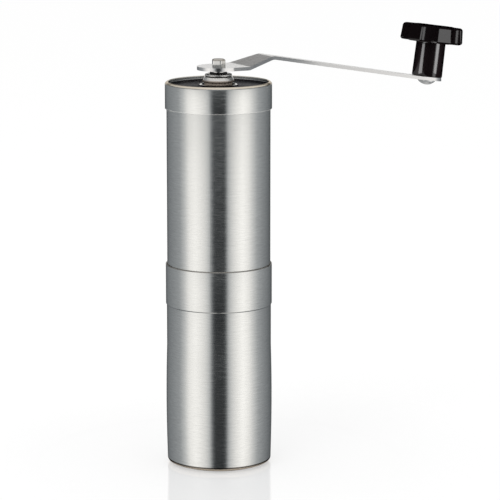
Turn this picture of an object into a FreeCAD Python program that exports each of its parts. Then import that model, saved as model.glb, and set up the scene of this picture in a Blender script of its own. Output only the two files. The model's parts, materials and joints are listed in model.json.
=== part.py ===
import FreeCAD, Part
import math
import os
import re

import Sketcher

# Hand crank coffee grinder: a steel grounds cup, a bean tube with a conical burr mill in its
# lower end, a steel cap lid, and a folded strip crank with a lobed knob.
# The shaft axis is Z, the table is z = 0 and the crank points along +X. Sizes are millimetres
# and degrees.

DIMENSIONS = {
    # Steel shells: the cup's mouth and the lid share one outside radius
    "wall": 0.5,
    "cutter_overrun": 1.0,
    "mouth_radius": 24.5,
    "tube_radius": 23.8,
    "tube_bottom": 75.5,
    "tube_top": 176.5,
    "window_width": 6.0,
    "window_low": 82.0,
    "window_high": 86.0,
    # Grounds cup: a drawn shell with a gentle swell, a swaged mouth and a turned-in foot
    "cup_radius": 24.1,
    "cup_foot_radius": 24.0,
    "cup_corner": 1.5,
    "cup_swell_arc": 795.0,
    "cup_swell_top": 56.0,
    "cup_step_low": 75.0,
    "cup_step_high": 75.8,
    "cup_rim": 94.2,
    "cup_opening": 20.6,
    "foot_height": 1.0,
    "pan_radius": 20.3,
    "pan_rim_radius": 22.3,
    "pan_sheet": 0.6,
    # Lid: a drawn cap whose folded rim stands above the tube's top edge
    "lid_top": 178.5,
    "lid_skirt_low": 166.2,
    "lid_corner": 1.2,
    "lid_inner_corner": 0.3,
    "lid_floor": 176.9,
    "lid_floor_fillet": 0.4,
    "lid_hole": 7.7,
    "lid_lip_radius": 9.4,
    "lid_lip_rise": 0.6,
    # Top bearing: a strip across the tube, a turned housing and a plastic sleeve
    "bridge_top": 172.0,
    "bridge_sheet": 1.5,
    "bridge_width": 16.0,
    "bridge_reach": 23.25,
    "tab_drop": 9.0,
    "spigot_radius": 5.5,
    "spigot_low": 170.0,
    "housing_flange": 9.0,
    "housing_flange_top": 173.2,
    "housing_neck": 6.5,
    "housing_neck_top": 178.2,
    "housing_ridge": 7.3,
    "housing_ridge_height": 178.7,
    "housing_cone_top": 6.5,
    "housing_groove_radius": 5.6,
    "housing_groove_low": 180.7,
    "housing_groove_high": 181.15,
    "housing_crown": 6.3,
    "housing_crown_shoulder": 6.02,
    "housing_crown_bend": 181.95,
    "housing_crown_top": 5.3,
    "housing_top": 182.2,
    "sleeve_radius": 3.95,
    "sleeve_flange": 5.4,
    "sleeve_low": 169.0,
    "sleeve_top": 182.85,
    # Drive shaft: a round rod with a five-sided tip, flats for the burr and a threaded foot
    "shaft_radius": 3.45,
    "running_gap": 0.05,
    "shaft_shoulder": 183.85,
    "tip_top": 188.8,
    "tip_radius": 3.43,
    "tip_phase": 48.3,
    "tip_crown_radius": 2.4,
    "tip_crown_reach": 3.63,
    "tip_crown_drop": 0.8,
    "flat_half_width": 2.75,
    "flat_low": 72.0,
    "flat_high": 90.0,
    "thread_radius": 3.0,
    "shaft_end": 57.5,
    "end_chamfer": 0.6,
    "clip_groove_radius": 2.9,
    "clip_low": 108.0,
    "clip_sheet": 0.8,
    "clip_radius": 5.4,
    "clip_span": 290.0,
    "washer_bore": 3.6,
    "washer_radius": 6.6,
    "spring_washer_radius": 5.85,
    "washer_sheet": 0.8,
    # Burr carrier: a ring in the tube's lower end with a three-armed spider and a bearing hub
    "carrier_radius": 23.25,
    "carrier_bore": 20.2,
    "carrier_low": 76.2,
    "carrier_high": 98.0,
    "ledge_radius": 17.5,
    "spider_arms": 3,
    "arm_width": 6.0,
    "arm_low": 97.0,
    "arm_high": 103.0,
    "hub_radius": 7.5,
    "hub_low": 95.0,
    "hub_high": 106.0,
    "barb_reach": 23.7,
    "barb_gap": 0.15,
    "bush_radius": 5.0,
    "bush_flange": 6.8,
    "bush_flange_sheet": 1.2,
    "retainer_radius": 20.15,
    "retainer_bore": 18.0,
    "retainer_low": 76.4,
    "retainer_notches": 4,
    "retainer_notch_width": 3.0,
    # Burrs: tooth tips lie on two cones, a steep one where beans enter and a fine one below
    "ring_radius": 20.0,
    "ring_low": 78.0,
    "ring_high": 96.0,
    "ring_low_tip": 17.0,
    "ring_mid_tip": 15.0,
    "ring_high_tip": 13.5,
    "burr_mid": 84.5,
    "cone_low": 77.5,
    "cone_high": 92.5,
    "cone_low_tip": 16.7,
    "cone_mid_tip": 14.0,
    "cone_high_tip": 9.2,
    "cone_bore": 6.05,
    "fine_depth": 0.8,
    "ring_coarse_depth": 1.8,
    "cone_coarse_depth": 2.3,
    "cone_fine_teeth": 24,
    "ring_fine_teeth": 30,
    "cone_coarse_teeth": 6,
    "ring_coarse_teeth": 10,
    "fine_slant": 14.0,
    "coarse_slant": 40.0,
    "ring_coarse_slant": 20.0,
    "tooth_runout": 0.5,
    "cone_coarse_runout": 1.5,
    "groove_margin": 0.6,
    "groove_share": 0.46,
    # Burr driver: turns the cone burr by two keys, with click notches underneath
    "driver_low": 74.0,
    "driver_flange": 12.5,
    "driver_hub": 6.0,
    "driver_high": 86.0,
    "key_radius": 7.4,
    "key_width": 3.0,
    "key_high": 82.0,
    "key_gap": 0.1,
    "click_notches": 12,
    "click_depth": 0.7,
    "click_width": 1.6,
    "click_inner": 7.0,
    # Spring between the lower bush and the driver
    "spring_mean": 4.75,
    "spring_wire": 0.45,
    "spring_turns": 4,
    # Adjuster: a scalloped thumb wheel around a hexagonal brass nut
    "wheel_radius": 11.0,
    "wheel_low": 60.5,
    "wheel_high": 73.95,
    "wheel_waist": 9.2,
    "wheel_waist_low": 70.0,
    "wheel_edge": 0.8,
    "wheel_scallops": 12,
    "scallop_radius": 2.2,
    "scallop_distance": 12.1,
    "wheel_bore": 3.7,
    "nut_radius": 5.7,
    "nut_gap": 0.03,
    "nut_low": 61.0,
    "nut_high": 69.0,
    # Crank: a flat strip, raised past the lid's edge and then falling to the knob
    "crank_low": 183.9,
    "crank_sheet": 1.6,
    "crank_hub_radius": 9.8,
    "crank_bend_one": 10.8,
    "crank_bend_one_half": 10.3,
    "crank_rise_angle": 15.6,
    "crank_bend_two": 24.9,
    "crank_bend_two_half": 7.2,
    "crank_fall_angle": 9.9,
    "crank_bend_three": 105.2,
    "crank_tip_angle": 7.6,
    "bend_radius": 6.0,
    "knob_reach": 111.95,
    "crank_tip_half": 6.9,
    "crank_blank_above": 20.0,
    "crank_blank_below": 30.0,
    "crank_cut_width": 60.0,
    "pivot_cut_length": 9.6,
    # Knob: its own Z is the pivot axis and its zero is the top face of the crank
    "knob_pivot_hole": 2.46,
    "knob_screw_radius": 2.4,
    "screw_head_radius": 4.1,
    "screw_head_gap": 0.05,
    "screw_head_height": 2.3,
    "screw_rim_height": 0.5,
    "screw_dome_arc": 5.6,
    "screw_end": 14.0,
    "pivot_washer_bore": 2.56,
    "pivot_washer_low": 0.03,
    "pivot_washer_high": 0.53,
    "pivot_washer_radius": 6.2,
    "washer_seat_radius": 6.35,
    "stem_low": 0.12,
    "stem_low_radius": 7.2,
    "stem_high_radius": 7.0,
    "head_low": 16.35,
    "head_high": 24.35,
    "head_flat": 14.3,
    "head_lobes": 6,
    "head_phase": 22.0,
    "flute_radius": 5.0,
    "flute_distance": 17.2,
    "lobe_corner": 1.0,
    "head_edge": 1.3,
    "insert_radius": 4.0,
    "insert_low": 1.0,
    "insert_high": 15.5,
}

FULL_TURN = 360
HALF_TURN = 180
PENTAGON_SIDES = 5
HEXAGON_SIDES = 6
TOLERANCE = 1e-6

doc = FreeCAD.newDocument("coffee_grinder")
sheet = doc.addObject("Spreadsheet::Sheet", "Sheet")
for row, (alias, size) in enumerate(DIMENSIONS.items(), start=1):
    sheet.set("A%d" % row, alias)
    sheet.set("B%d" % row, str(size))
    sheet.setAlias("B%d" % row, alias)
doc.recompute()


def bound(expression):
    """Turn the sheet's words inside an expression into references to its cells."""
    return re.sub(r"[a-z_]+", lambda word: cell(word.group()), expression)


def cell(word):
    """Name a word's cell in the sheet, or leave a function's name as it is."""
    return "Sheet." + word if word in DIMENSIONS else word


def value(expression):
    """Give the number that an expression of the sheet's words stands for."""
    return float(sheet.evalExpression(bound(expression)))


def new_body(label):
    """Start one sub-part."""
    body = doc.addObject("PartDesign::Body", label)
    body.Label = label
    return body


def origin(body, role):
    """Find one of a body's own origin planes or axes."""
    return next(item for item in body.Origin.OriginFeatures if item.Role == role)


def new_sketch(body, name, plane, lift="0"):
    """Lay a sketch on one of a body's origin planes, raised along the plane's normal."""
    sketch = body.newObject("Sketcher::SketchObject", name)
    sketch.AttachmentSupport = [(origin(body, plane), "")]
    sketch.MapMode = "FlatFace"
    sketch.setExpression(".AttachmentOffset.Base.z", bound(lift))
    return sketch


def tie(sketch, constraint, expression):
    """Add a constraint whose size is read from the sheet."""
    index = sketch.addConstraint(constraint)
    sketch.setExpression("Constraints[%d]" % index, bound(expression))


def arc_between(start, end, radius):
    """Make the short arc from start to end, turning left for a positive radius."""
    chord = end - start
    half = chord.Length / 2
    left = FreeCAD.Vector(-chord.y, chord.x, 0).normalize()
    offset = math.sqrt(radius * radius - half * half)
    centre = (start + end) / 2 + left * math.copysign(offset, radius)
    first, last = (start, end) if radius > 0 else (end, start)
    angles = [math.atan2(point.y - centre.y, point.x - centre.x) for point in (first, last)]
    if angles[1] < angles[0]:
        angles[1] += 2 * math.pi
    ring = Part.Circle(centre, FreeCAD.Vector(0, 0, 1), abs(radius))
    return Part.ArcOfCircle(ring, angles[0], angles[1])


def outline(sketch, corners):
    """Draw one closed outline and tie every corner to the sheet.

    A corner is (x, y), reached by a straight line, or (x, y, radius), reached by an arc that
    turns left for a positive radius and right for a negative one.
    """
    points = [FreeCAD.Vector(value(corner[0]), value(corner[1]), 0) for corner in corners]
    runs = []
    for index, corner in enumerate(corners):
        start = points[index - 1]
        end = points[index]
        if len(corner) == 2:
            runs.append((sketch.addGeometry(Part.LineSegment(start, end), False), 1, 2))
            continue
        radius = value(corner[2])
        arc = sketch.addGeometry(arc_between(start, end, radius), False)
        runs.append((arc, 1, 2) if radius > 0 else (arc, 2, 1))
        tie(sketch, Sketcher.Constraint("Radius", arc, abs(radius)), "abs(%s)" % corner[2])
    for index, corner in enumerate(corners):
        run, _, last = runs[index]
        following, first, _ = runs[(index + 1) % len(runs)]
        sketch.addConstraint(Sketcher.Constraint("Coincident", run, last, following, first))
        point = points[index]
        tie(sketch, Sketcher.Constraint("DistanceX", -1, 1, run, last, point.x), corner[0])
        tie(sketch, Sketcher.Constraint("DistanceY", -1, 1, run, last, point.y), corner[1])


def circle(sketch, x, y, radius):
    """Draw a circle tied to the sheet."""
    middle = FreeCAD.Vector(value(x), value(y), 0)
    up = FreeCAD.Vector(0, 0, 1)
    ring = sketch.addGeometry(Part.Circle(middle, up, value(radius)), False)
    tie(sketch, Sketcher.Constraint("DistanceX", -1, 1, ring, 3, middle.x), x)
    tie(sketch, Sketcher.Constraint("DistanceY", -1, 1, ring, 3, middle.y), y)
    tie(sketch, Sketcher.Constraint("Radius", ring, value(radius)), radius)


def polygon(radius, sides, phase="0"):
    """List the corners of a regular polygon about the axis."""
    turns = ["%s + %g" % (phase, FULL_TURN / sides * side) for side in range(sides)]
    return [polar_point(radius, turn) for turn in turns]


def polar_point(radius, turn):
    """Write a point at a radius and an angle as a pair of expressions."""
    return "(%s) * cos(%s)" % (radius, turn), "(%s) * sin(%s)" % (radius, turn)


def rectangle(x_low, x_high, y_low, y_high):
    """List the corners of an upright rectangle."""
    return [(x_low, y_low), (x_high, y_low), (x_high, y_high), (x_low, y_high)]


def revolve(body, name, corners, cut=False):
    """Turn an outline of (radius, height) corners about the shaft axis."""
    sketch = new_sketch(body, name + "_outline", "XZ_Plane")
    outline(sketch, corners)
    turned = body.newObject("PartDesign::Groove" if cut else "PartDesign::Revolution", name)
    turned.Profile = sketch
    turned.ReferenceAxis = (origin(body, "Z_Axis"), [""])
    turned.Angle = FULL_TURN
    return turned


def extrude(body, name, sketch, length, cut=False, reverse=False, both_ways=False):
    """Pad a sketch, or cut it as a pocket, over a length."""
    solid = body.newObject("PartDesign::Pocket" if cut else "PartDesign::Pad", name)
    solid.Profile = sketch
    solid.setExpression("Length", bound(length))
    solid.Reversed = reverse
    if both_ways:
        solid.SideType = "Symmetric"
    return solid


def repeat(body, name, originals, count):
    """Repeat features evenly about the body's axis."""
    pattern = body.newObject("PartDesign::PolarPattern", name)
    pattern.Originals = originals
    pattern.Axis = (origin(body, "Z_Axis"), [""])
    pattern.Angle = FULL_TURN
    pattern.setExpression("Occurrences", bound(count))
    body.Tip = pattern
    return pattern


def round_edges(body, name, feature, radius, wanted):
    """Fillet the edges of a feature that a test picks out."""
    doc.recompute()
    edges = feature.Shape.Edges
    names = ["Edge%d" % (index + 1) for index, edge in enumerate(edges) if wanted(edge)]
    fillet = body.newObject("PartDesign::Fillet", name)
    fillet.Base = (feature, names)
    fillet.setExpression("Radius", bound(radius))
    body.Tip = fillet
    return fillet


def ring(label, inner, outer, low, high):
    """Make a plain ring, such as a washer or a sleeve."""
    body = new_body(label)
    revolve(body, label + "_turned", rectangle(inner, outer, low, high))
    return body


def make_cup():
    """Grounds cup: drawn wall with a swell, swaged mouth and turned-in flange, and its base pan."""
    shelf = "foot_height + wall"
    corner = "foot_height + cup_corner"
    inner_arc = "cup_swell_arc - wall"
    cup = new_body("grounds_cup")
    revolve(cup, "cup_wall", [
        ("cup_opening", "foot_height"),
        ("cup_foot_radius - cup_corner", "foot_height"),
        ("cup_foot_radius", corner, "cup_corner"),
        ("cup_radius", "cup_swell_top", "cup_swell_arc"),
        ("cup_radius", "cup_step_low"),
        ("mouth_radius", "cup_step_high"),
        ("mouth_radius", "cup_rim"),
        ("mouth_radius - wall", "cup_rim"),
        ("mouth_radius - wall", "cup_step_high"),
        ("cup_radius - wall", "cup_step_low"),
        ("cup_radius - wall", "cup_swell_top"),
        ("cup_foot_radius - wall", corner, "-(%s)" % inner_arc),
        ("cup_foot_radius - cup_corner", shelf, "wall - cup_corner"),
        ("cup_opening", shelf),
    ])
    base = new_body("cup_base")
    revolve(base, "base_pan", [
        ("0", "0"),
        ("pan_radius - pan_sheet", "0"),
        ("pan_radius", "pan_sheet", "pan_sheet"),
        ("pan_radius", shelf),
        ("pan_rim_radius", shelf),
        ("pan_rim_radius", shelf + " + pan_sheet"),
        ("pan_radius - pan_sheet", shelf + " + pan_sheet"),
        ("pan_radius - pan_sheet", "pan_sheet"),
        ("0", "pan_sheet"),
    ])


def make_tube():
    """Bean tube: plain drawn tube with three windows for the carrier's barbs."""
    tube = new_body("hopper_tube")
    revolve(tube, "tube_wall", rectangle("tube_radius - wall", "tube_radius", "tube_bottom", "tube_top"))
    sketch = new_sketch(tube, "window_outline", "YZ_Plane")
    outline(sketch, rectangle("-window_width / 2", "window_width / 2", "window_low", "window_high"))
    window = extrude(tube, "window", sketch, "mouth_radius", cut=True, reverse=True)
    repeat(tube, "windows", [window], "spider_arms")


def make_lid():
    """Lid: a drawn cap with a folded rim, a dished floor and a raised lip around its hole."""
    shoulder = "lid_top - lid_corner"
    crest = "mouth_radius - lid_corner"
    dish = "(mouth_radius - lid_corner - lid_inner_corner)"
    floor_corner = "lid_floor + lid_floor_fillet"
    lid = new_body("hopper_lid")
    revolve(lid, "lid_cap", [
        ("mouth_radius", "lid_skirt_low"),
        ("mouth_radius", shoulder),
        (crest, "lid_top", "lid_corner"),
        (dish, "lid_top - lid_inner_corner", "lid_inner_corner"),
        (dish, floor_corner),
        (dish + " - lid_floor_fillet", "lid_floor", "-lid_floor_fillet"),
        ("lid_lip_radius", "lid_floor"),
        ("lid_hole", "lid_floor + lid_lip_rise"),
        ("lid_hole", "lid_floor + lid_lip_rise - wall"),
        ("lid_lip_radius", "lid_floor - wall"),
        (dish + " - lid_floor_fillet", "lid_floor - wall"),
        (dish + " + wall", floor_corner, "lid_floor_fillet + wall"),
        ("mouth_radius - wall", floor_corner),
        ("mouth_radius - wall", "lid_skirt_low"),
    ])


def make_top_bearing():
    """Top bearing: folded strip across the tube, turned housing staked to it, and its sleeve."""
    bridge = new_body("bearing_bridge")
    sketch = new_sketch(bridge, "bridge_outline", "XZ_Plane")
    inside = "bridge_reach - bridge_sheet"
    under = "bridge_top - bridge_sheet"
    tab_end = "bridge_top - tab_drop"
    above = "bridge_top + cutter_overrun"
    outline(sketch, [
        ("-mouth_radius", "bridge_top"),
        ("-mouth_radius", tab_end),
        ("-(%s)" % inside, tab_end),
        ("-(%s)" % inside, under),
        (inside, under),
        (inside, tab_end),
        ("mouth_radius", tab_end),
        ("mouth_radius", "bridge_top"),
    ])
    extrude(bridge, "bridge_strip", sketch, "bridge_width", both_ways=True)
    trim = rectangle("bridge_reach", "2 * mouth_radius", tab_end + " - cutter_overrun", above)
    revolve(bridge, "bridge_ends", trim, cut=True)
    bore = rectangle("0", "spigot_radius + running_gap", under + " - cutter_overrun", above)
    revolve(bridge, "bridge_bore", bore, cut=True)

    housing = new_body("bearing_housing")
    bore_radius = "sleeve_radius + running_gap / 2"
    revolve(housing, "housing_turned", [
        (bore_radius, "spigot_low"),
        ("spigot_radius", "spigot_low"),
        ("spigot_radius", "bridge_top"),
        ("housing_flange", "bridge_top"),
        ("housing_flange", "housing_flange_top"),
        ("housing_neck", "housing_flange_top"),
        ("housing_neck", "housing_neck_top"),
        ("housing_ridge", "housing_ridge_height"),
        ("housing_cone_top", "housing_groove_low"),
        ("housing_groove_radius", "housing_groove_low"),
        ("housing_groove_radius", "housing_groove_high"),
        ("housing_crown", "housing_groove_high"),
        ("housing_crown_shoulder", "housing_crown_bend"),
        ("housing_crown_top", "housing_top"),
        (bore_radius, "housing_top"),
    ])

    sleeve = new_body("top_bush")
    revolve(sleeve, "sleeve_turned", [
        ("shaft_radius + running_gap", "sleeve_low"),
        ("sleeve_flange", "sleeve_low"),
        ("sleeve_flange", "spigot_low"),
        ("sleeve_radius", "spigot_low"),
        ("sleeve_radius", "sleeve_top"),
        ("shaft_radius + running_gap", "sleeve_top"),
    ])


def make_carrier():
    """Burr carrier with its spider and snap barbs, the lower bush and the burr retainer."""
    carrier = new_body("burr_carrier")
    revolve(carrier, "carrier_ring", [
        ("carrier_bore", "carrier_low"),
        ("carrier_radius", "carrier_low"),
        ("carrier_radius", "carrier_high"),
        ("ledge_radius", "carrier_high"),
        ("ledge_radius", "ring_high"),
        ("carrier_bore", "ring_high"),
    ])
    sketch = new_sketch(carrier, "arm_outline", "XY_Plane", "arm_low")
    outline(sketch, rectangle("0", "carrier_bore", "-arm_width / 2", "arm_width / 2"))
    arm = extrude(carrier, "arm", sketch, "arm_high - arm_low")
    repeat(carrier, "arms", [arm], "spider_arms")
    revolve(carrier, "hub", rectangle("0", "hub_radius", "hub_low", "hub_high"))
    sketch = new_sketch(carrier, "barb_outline", "YZ_Plane", "carrier_bore + cutter_overrun")
    outline(sketch, rectangle("-window_width / 2 + barb_gap", "window_width / 2 - barb_gap",
                              "window_low + barb_gap", "window_high - barb_gap"))
    barb = extrude(carrier, "barb", sketch, "barb_reach - carrier_bore - cutter_overrun")
    repeat(carrier, "barbs", [barb], "spider_arms")
    bore = rectangle("0", "bush_radius + running_gap / 2",
                     "hub_low - cutter_overrun", "hub_high + cutter_overrun")
    revolve(carrier, "hub_bore", bore, cut=True)

    bush = new_body("lower_bush")
    revolve(bush, "bush_turned", [
        ("shaft_radius + running_gap", "hub_low"),
        ("bush_radius", "hub_low"),
        ("bush_radius", "hub_high"),
        ("bush_flange", "hub_high"),
        ("bush_flange", "hub_high + bush_flange_sheet"),
        ("shaft_radius + running_gap", "hub_high + bush_flange_sheet"),
    ])

    retainer = ring("burr_retainer", "retainer_bore", "retainer_radius", "retainer_low", "ring_low")
    sketch = new_sketch(retainer, "notch_outline", "XY_Plane", "retainer_low")
    outline(sketch, rectangle("0", "retainer_bore + cutter_overrun",
                              "-retainer_notch_width / 2", "retainer_notch_width / 2"))
    notch = extrude(retainer, "notch", sketch, "ring_low - retainer_low", cut=True, reverse=True)
    repeat(retainer, "notches", [notch], "retainer_notches")


def tooth_groove(body, name, sections, half_angle):
    """Cut one slanted V groove; each section is (height, root radius, open radius, turn)."""
    sketches = []
    for index, (height, root, opening, turn) in enumerate(sections):
        sketch = new_sketch(body, "%s_section_%d" % (name, index), "XY_Plane", height)
        outline(sketch, [
            polar_point(root, turn),
            polar_point(opening, "%s - %g" % (turn, half_angle)),
            polar_point(opening, "%s + %g" % (turn, half_angle)),
        ])
        sketches.append(sketch)
    groove = body.newObject("PartDesign::SubtractiveLoft", name)
    groove.Profile = sketches[0]
    groove.Sections = sketches[1:]
    groove.Ruled = True
    return groove


def cone_line(low, low_radius, high, high_radius):
    """Give a function that writes a cone's radius at a height."""
    slope = "(%s - %s) / (%s - %s)" % (high_radius, low_radius, high, low)
    return lambda height: "(%s + (%s - %s) * %s)" % (low_radius, height, low, slope)


def cut_teeth(body, name, cone, low, high, depth, slant, count, open_side):
    """Cut a ring of slanted V grooves into a cone, from its outside (1) or its inside (-1)."""
    half_angle = value("groove_share") * FULL_TURN / value(count)
    sections = []
    for height, turn in ((low, "0"), (high, slant)):
        tips = cone(height)
        root = "%s - %d * (%s)" % (tips, open_side, depth)
        opening = "%s + %d * groove_margin" % (tips, open_side)
        sections.append((height, root, opening, turn))
    groove = tooth_groove(body, name, sections, half_angle)
    repeat(body, name + "_teeth", [groove], count)


def make_burrs():
    """Ceramic burrs: a ring with inside teeth and a cone with outside teeth, fine below coarse."""
    burr = new_body("outer_burr")
    revolve(burr, "burr_ring", [
        ("ring_low_tip", "ring_low"),
        ("ring_radius", "ring_low"),
        ("ring_radius", "ring_high"),
        ("ring_high_tip", "ring_high"),
        ("ring_mid_tip", "burr_mid"),
    ])
    fine = cone_line("ring_low", "ring_low_tip", "burr_mid", "ring_mid_tip")
    coarse = cone_line("burr_mid", "ring_mid_tip", "ring_high", "ring_high_tip")
    cut_teeth(burr, "ring_fine", fine, "(ring_low - cutter_overrun)", "(burr_mid + tooth_runout)",
              "fine_depth", "-fine_slant", "ring_fine_teeth", -1)
    cut_teeth(burr, "ring_coarse", coarse, "(burr_mid - tooth_runout)",
              "(ring_high + cutter_overrun)", "ring_coarse_depth", "-ring_coarse_slant",
              "ring_coarse_teeth", -1)

    cone = new_body("inner_burr")
    revolve(cone, "burr_cone", [
        ("cone_bore", "cone_low"),
        ("cone_low_tip", "cone_low"),
        ("cone_mid_tip", "burr_mid"),
        ("cone_high_tip", "cone_high"),
        ("cone_bore", "cone_high"),
    ])
    fine = cone_line("cone_low", "cone_low_tip", "burr_mid", "cone_mid_tip")
    coarse = cone_line("burr_mid", "cone_mid_tip", "cone_high", "cone_high_tip")
    cut_teeth(cone, "cone_fine", fine, "(cone_low - cutter_overrun)", "(burr_mid + tooth_runout)",
              "fine_depth", "fine_slant", "cone_fine_teeth", 1)
    cut_teeth(cone, "cone_coarse", coarse, "(burr_mid - cone_coarse_runout)",
              "(cone_high + cutter_overrun)", "cone_coarse_depth", "coarse_slant",
              "cone_coarse_teeth", 1)
    sketch = new_sketch(cone, "keyway_outline", "XY_Plane", "cone_low")
    reach = "key_radius + key_gap"
    half = "key_width / 2 + key_gap"
    outline(sketch, rectangle("-(%s)" % reach, reach, "-(%s)" % half, half))
    extrude(cone, "keyway", sketch, "key_high - cone_low + key_gap", cut=True, reverse=True)


def make_driver():
    """Burr driver: flanged plastic hub on the shaft's flats, with keys above and notches below."""
    driver = new_body("burr_driver")
    revolve(driver, "driver_turned", [
        ("0", "driver_low"),
        ("driver_flange", "driver_low"),
        ("driver_flange", "cone_low"),
        ("driver_hub", "cone_low"),
        ("driver_hub", "driver_high"),
        ("0", "driver_high"),
    ])
    sketch = new_sketch(driver, "key_outline", "XY_Plane", "cone_low")
    outline(sketch, rectangle("-key_radius", "key_radius", "-key_width / 2", "key_width / 2"))
    extrude(driver, "keys", sketch, "key_high - cone_low")
    sketch = new_sketch(driver, "bore_outline", "XY_Plane", "driver_low")
    double_flat(sketch, "shaft_radius + running_gap", "flat_half_width + running_gap")
    extrude(driver, "bore", sketch, "driver_high - driver_low", cut=True, reverse=True)
    sketch = new_sketch(driver, "click_outline", "YZ_Plane", "click_inner")
    outline(sketch, [
        ("-click_width / 2", "driver_low"),
        ("click_width / 2", "driver_low"),
        ("0", "driver_low + click_depth"),
    ])
    click = extrude(driver, "click", sketch, "driver_flange", cut=True, reverse=True)
    repeat(driver, "clicks", [click], "click_notches")


def double_flat(sketch, radius, half_width):
    """Draw a circle with two flats, parallel to X."""
    reach = "sqrt(pow(%s; 2) - pow(%s; 2))" % (radius, half_width)
    outline(sketch, [
        ("-" + reach, "-(%s)" % half_width, radius),
        (reach, "-(%s)" % half_width),
        (radius, "0", radius),
        (reach, half_width, radius),
        ("-" + reach, half_width),
        ("-(%s)" % radius, "0", radius),
    ])


def make_shaft():
    """Drive shaft with its five-sided tip, flats and foot, and the clip and washers on it."""
    shaft = new_body("drive_shaft")
    clip_high = "clip_low + clip_sheet + running_gap"
    revolve(shaft, "shaft_turned", [
        ("0", "shaft_end"),
        ("thread_radius - end_chamfer", "shaft_end"),
        ("thread_radius", "shaft_end + end_chamfer"),
        ("thread_radius", "flat_low"),
        ("shaft_radius", "flat_low"),
        ("shaft_radius", "clip_low - running_gap"),
        ("clip_groove_radius", "clip_low - running_gap"),
        ("clip_groove_radius", clip_high),
        ("shaft_radius", clip_high),
        ("shaft_radius", "shaft_shoulder"),
        ("0", "shaft_shoulder"),
    ])
    sketch = new_sketch(shaft, "tip_outline", "XY_Plane", "shaft_shoulder")
    outline(sketch, polygon("tip_radius", PENTAGON_SIDES, "tip_phase"))
    extrude(shaft, "tip", sketch, "tip_top - shaft_shoulder")
    revolve(shaft, "tip_crown", [
        ("tip_crown_radius", "tip_top"),
        ("tip_crown_reach", "tip_top - tip_crown_drop"),
        ("tip_crown_reach", "tip_top + cutter_overrun"),
        ("tip_crown_radius", "tip_top + cutter_overrun"),
    ], cut=True)
    sketch = new_sketch(shaft, "flats_outline", "XY_Plane", "flat_low")
    beyond = "shaft_radius + cutter_overrun"
    for side in ("", "-"):
        near = "%sflat_half_width" % side
        far = "%s(%s)" % (side, beyond)
        outline(sketch, rectangle("-(%s)" % beyond, beyond, near, far))
    extrude(shaft, "flats", sketch, "flat_high - flat_low", cut=True, reverse=True)

    clip = new_body("shaft_circlip")
    sketch = new_sketch(clip, "clip_outline", "XY_Plane", "clip_low")
    clip_bore = "clip_groove_radius + running_gap"
    gap_half = "(%d - clip_span) / 2" % FULL_TURN
    behind = str(HALF_TURN)
    inward = ("-(%s)" % clip_bore,)
    outward = ("clip_radius",)
    outline(sketch, [
        polar_point(clip_bore, gap_half) + inward,
        polar_point("clip_radius", gap_half),
        polar_point("clip_radius", behind) + outward,
        polar_point("clip_radius", "-(%s)" % gap_half) + outward,
        polar_point(clip_bore, "-(%s)" % gap_half),
        polar_point(clip_bore, behind) + inward,
    ])
    extrude(clip, "clip", sketch, "clip_sheet")

    bush_top = "hub_high + bush_flange_sheet"
    ring("thrust_washer", "washer_bore", "washer_radius", bush_top, bush_top + " + washer_sheet")
    ring("spring_washer", "washer_bore", "spring_washer_radius",
         "hub_low - washer_sheet", "hub_low")


def make_spring():
    """Compression spring that holds the cone burr down on the adjuster."""
    spring = new_body("burr_spring")
    sketch = new_sketch(spring, "wire_outline", "XZ_Plane")
    circle(sketch, "spring_mean", "driver_high + spring_wire", "spring_wire")
    coil = spring.newObject("PartDesign::AdditiveHelix", "coil")
    coil.Profile = sketch
    coil.ReferenceAxis = (origin(spring, "Z_Axis"), [""])
    coil.Mode = "height-turns-growth"
    coil.setExpression("Height", bound("hub_low - washer_sheet - driver_high - 2 * spring_wire"))
    coil.setExpression("Turns", bound("spring_turns"))


def make_adjuster():
    """Adjuster: scalloped thumb wheel and the hexagonal nut moulded into it."""
    wheel = new_body("adjuster_wheel")
    revolve(wheel, "wheel_turned", [
        ("wheel_bore", "wheel_low"),
        ("wheel_radius - wheel_edge", "wheel_low"),
        ("wheel_radius", "wheel_low + wheel_edge"),
        ("wheel_radius", "wheel_waist_low - wheel_edge"),
        ("wheel_radius - wheel_edge", "wheel_waist_low"),
        ("wheel_waist", "wheel_waist_low"),
        ("wheel_waist", "wheel_high"),
        ("wheel_bore", "wheel_high"),
    ])
    sketch = new_sketch(wheel, "scallop_outline", "XY_Plane", "wheel_low")
    circle(sketch, "scallop_distance", "0", "scallop_radius")
    scallop = extrude(wheel, "scallop", sketch, "wheel_waist_low - wheel_low", cut=True, reverse=True)
    repeat(wheel, "scallops", [scallop], "wheel_scallops")
    sketch = new_sketch(wheel, "nut_seat_outline", "XY_Plane", "wheel_low")
    outline(sketch, polygon("nut_radius + nut_gap", HEXAGON_SIDES))
    extrude(wheel, "nut_seat", sketch, "nut_high - wheel_low", cut=True, reverse=True)

    nut = new_body("adjuster_nut")
    sketch = new_sketch(nut, "nut_outline", "XY_Plane", "nut_low")
    outline(sketch, polygon("nut_radius", HEXAGON_SIDES))
    circle(sketch, "0", "0", "thread_radius + running_gap")
    extrude(nut, "nut", sketch, "nut_high - nut_low")


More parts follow.
